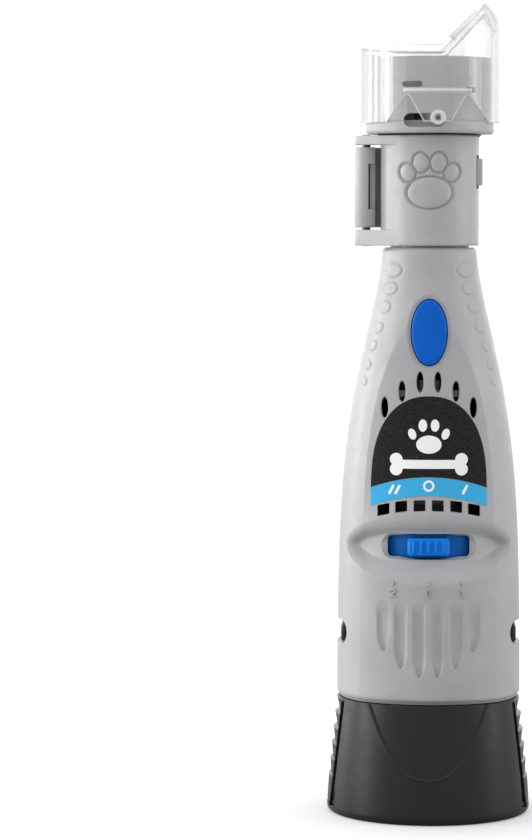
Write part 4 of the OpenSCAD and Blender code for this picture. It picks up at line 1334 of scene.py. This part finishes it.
def make_abrasive():
    """Abrasive disc: a slightly uneven gritty face with a ragged rim."""
    low, high = node_box("disc_abrasive")
    rng = np.random.default_rng(7)
    n = 160
    levels = [(1.0, low[2], 0.0), (1.0, high[2] - 0.15, 0.03), (0.985, high[2], 0.03)]
    levels += [(share, high[2], 0.05) for share in np.linspace(0.95, 0.03, 36)]
    rings = []
    for share, z, rough in levels:
        bump = rng.normal(0, rough, n) if rough else np.zeros(n)
        heights = np.clip(z + bump, low[2], high[2] + 0.1)
        rings.append(np.column_stack([circle(share * high[0], n), heights]))
    disc = new_piece("abrasive_coat", loft(rings))
    finish_piece(disc, "disc", abrasive_blue, "disc_abrasive", 60)


def dress_nodes():
    """Procedural materials for the CAD nodes that are shown as they are."""
    surfaces = {
        dark_steel: "housing_screws motor_can guard_hinge_pin",
        dark_plastic: "switch_body motor_end_cap",
        black_plastic: "switch_actuator",
        brass: "switch_terminals battery_contacts battery_terminals",
        red_rubber: "motor_leads",
        magnet_grey: "motor_magnets",
        bronze: "motor_brushes motor_front_bush motor_rear_bush",
        core_stack: "motor_armature",
        wound_wire: "motor_windings",
        copper: "motor_commutator",
        steel: "motor_shaft spindle collet mandrel_shank mandrel_lock",
        plated_steel: "lock_coupling collet_nut",
        polished_steel: "bearing_outer_race bearing_inner_race bearing_balls",
        mandrel_brass: "mandrel_body",
        disc_steel: "disc_plate",
        cell_film: "battery_cells",
        nickel: "cell_links",
    }
    for surface, nodes in surfaces.items():
        for node in nodes.split():
            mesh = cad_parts[node].data
            mesh.materials.clear()
            mesh.materials.append(surface)


# ---- Studio ----


def make_floor():
    """White floor. The camera sees it burnt out but for shadows; it bounces back less light."""
    side = 3.0
    mesh = bpy.data.meshes.new("floor")
    corners = [(-side, -side, 0), (side, -side, 0), (side, side, 0), (-side, side, 0)]
    mesh.from_pydata(corners, [], [(0, 1, 2, 3)])
    s = Surface("floor_white")
    s.set(Base_Color=(0.45, 0.45, 0.45, 1.0), Roughness=0.9, Specular_IOR_Level=0.1)
    paint = s.node("ShaderNodeBsdfDiffuse", {"Color": (0.72, 0.72, 0.72, 1.0)}).outputs["BSDF"]
    glow = s.node("ShaderNodeEmission", {"Strength": 0.18}).outputs["Emission"]
    lit = s.node("ShaderNodeAddShader", {0: paint, 1: glow}).outputs["Shader"]
    camera_ray = s.node("ShaderNodeLightPath").outputs["Is Camera Ray"]
    s.show(s.blend(camera_ray, s.shader.outputs["BSDF"], lit))
    mesh.materials.append(s.material)
    floor = new_object("floor", mesh)
    # the pack stands on the floor, so lifting the tool off its pack leaves both below it
    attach(floor, "battery")


def make_sky():
    """Soft studio surround, brightest behind the tool; the camera itself sees plain white."""
    world = bpy.data.worlds.new("studio")
    bpy.context.scene.world = world
    world.use_nodes = True
    s = Nodes(world.node_tree)
    place = s.node("ShaderNodeTexCoord").outputs["Generated"]
    x, y, z = s.node("ShaderNodeSeparateXYZ", {"Vector": place}).outputs
    light = 0.93
    left, right, behind, above = (x, -1, 0.4), (x, 1, 0.15), (y, 1, 1.8), (z, 1, 0.5)
    for axis, sign, strength in (left, right, behind, above):
        facing = s.math("MAXIMUM", s.math("MULTIPLY", axis, sign), 0.0)
        light = s.math("ADD", s.math("MULTIPLY", s.math("POWER", facing, 2.0), strength), light)
    lit = s.node("ShaderNodeBackground", {"Strength": light}).outputs["Background"]
    seen = s.node("ShaderNodeBackground", {"Color": (1, 1, 1, 1), "Strength": 1.05})
    camera_ray = s.node("ShaderNodeLightPath").outputs["Is Camera Ray"]
    s.node("ShaderNodeOutputWorld",
           {"Surface": s.blend(camera_ray, lit, seen.outputs["Background"])})


def make_lamp(name, place, target, size, power):
    data = bpy.data.lights.new(name, "AREA")
    data.shape = "RECTANGLE"
    data.size, data.size_y = size
    data.energy = power
    lamp = new_object(name, data)
    lamp.location = place
    lamp.rotation_euler = (Vector(target) - Vector(place)).to_track_quat("-Z", "Y").to_euler()


def make_camera():
    """Camera level with the neck, aimed a little left of the tool and down."""
    data = bpy.data.cameras.new("camera")
    data.lens = 138.75
    data.sensor_width = 36.0
    camera = new_object("camera", data)
    camera.location = (0, -0.790, 0.144)
    yaw, pitch = math.radians(2.887), math.radians(3.506)
    level = math.cos(pitch)
    ahead = Vector((-math.sin(yaw) * level, math.cos(yaw) * level, -math.sin(pitch)))
    camera.rotation_euler = ahead.to_track_quat("-Z", "Y").to_euler()
    bpy.context.scene.camera = camera


make_housing()
make_badge()
make_numerals()
make_button()
make_slider()
make_guard_door()
make_guard_shell()
make_cap()
make_battery()
for latch_side, latch_end in ((-1, "left"), (1, "right")):
    make_latch(latch_side, f"latch_{latch_end}_moulding", f"latch_{latch_end}",
               f"battery_latch_{latch_end}")
make_springs()
make_abrasive()
dress_nodes()
make_floor()
make_sky()
make_lamp("soft_left", (-0.9, -0.16, 0.12), (0, 0, 0.08), (0.3, 0.7), 5.5)
make_lamp("rim_left", (-0.82, 0.4, 0.1), (0, 0, 0.07), (0.14, 0.7), 3.6)
make_lamp("soft_right", (0.9, -0.08, 0.15), (0, 0, 0.1), (0.3, 0.8), 2.4)
make_camera()
bpy.context.scene.view_settings.view_transform = "Standard"
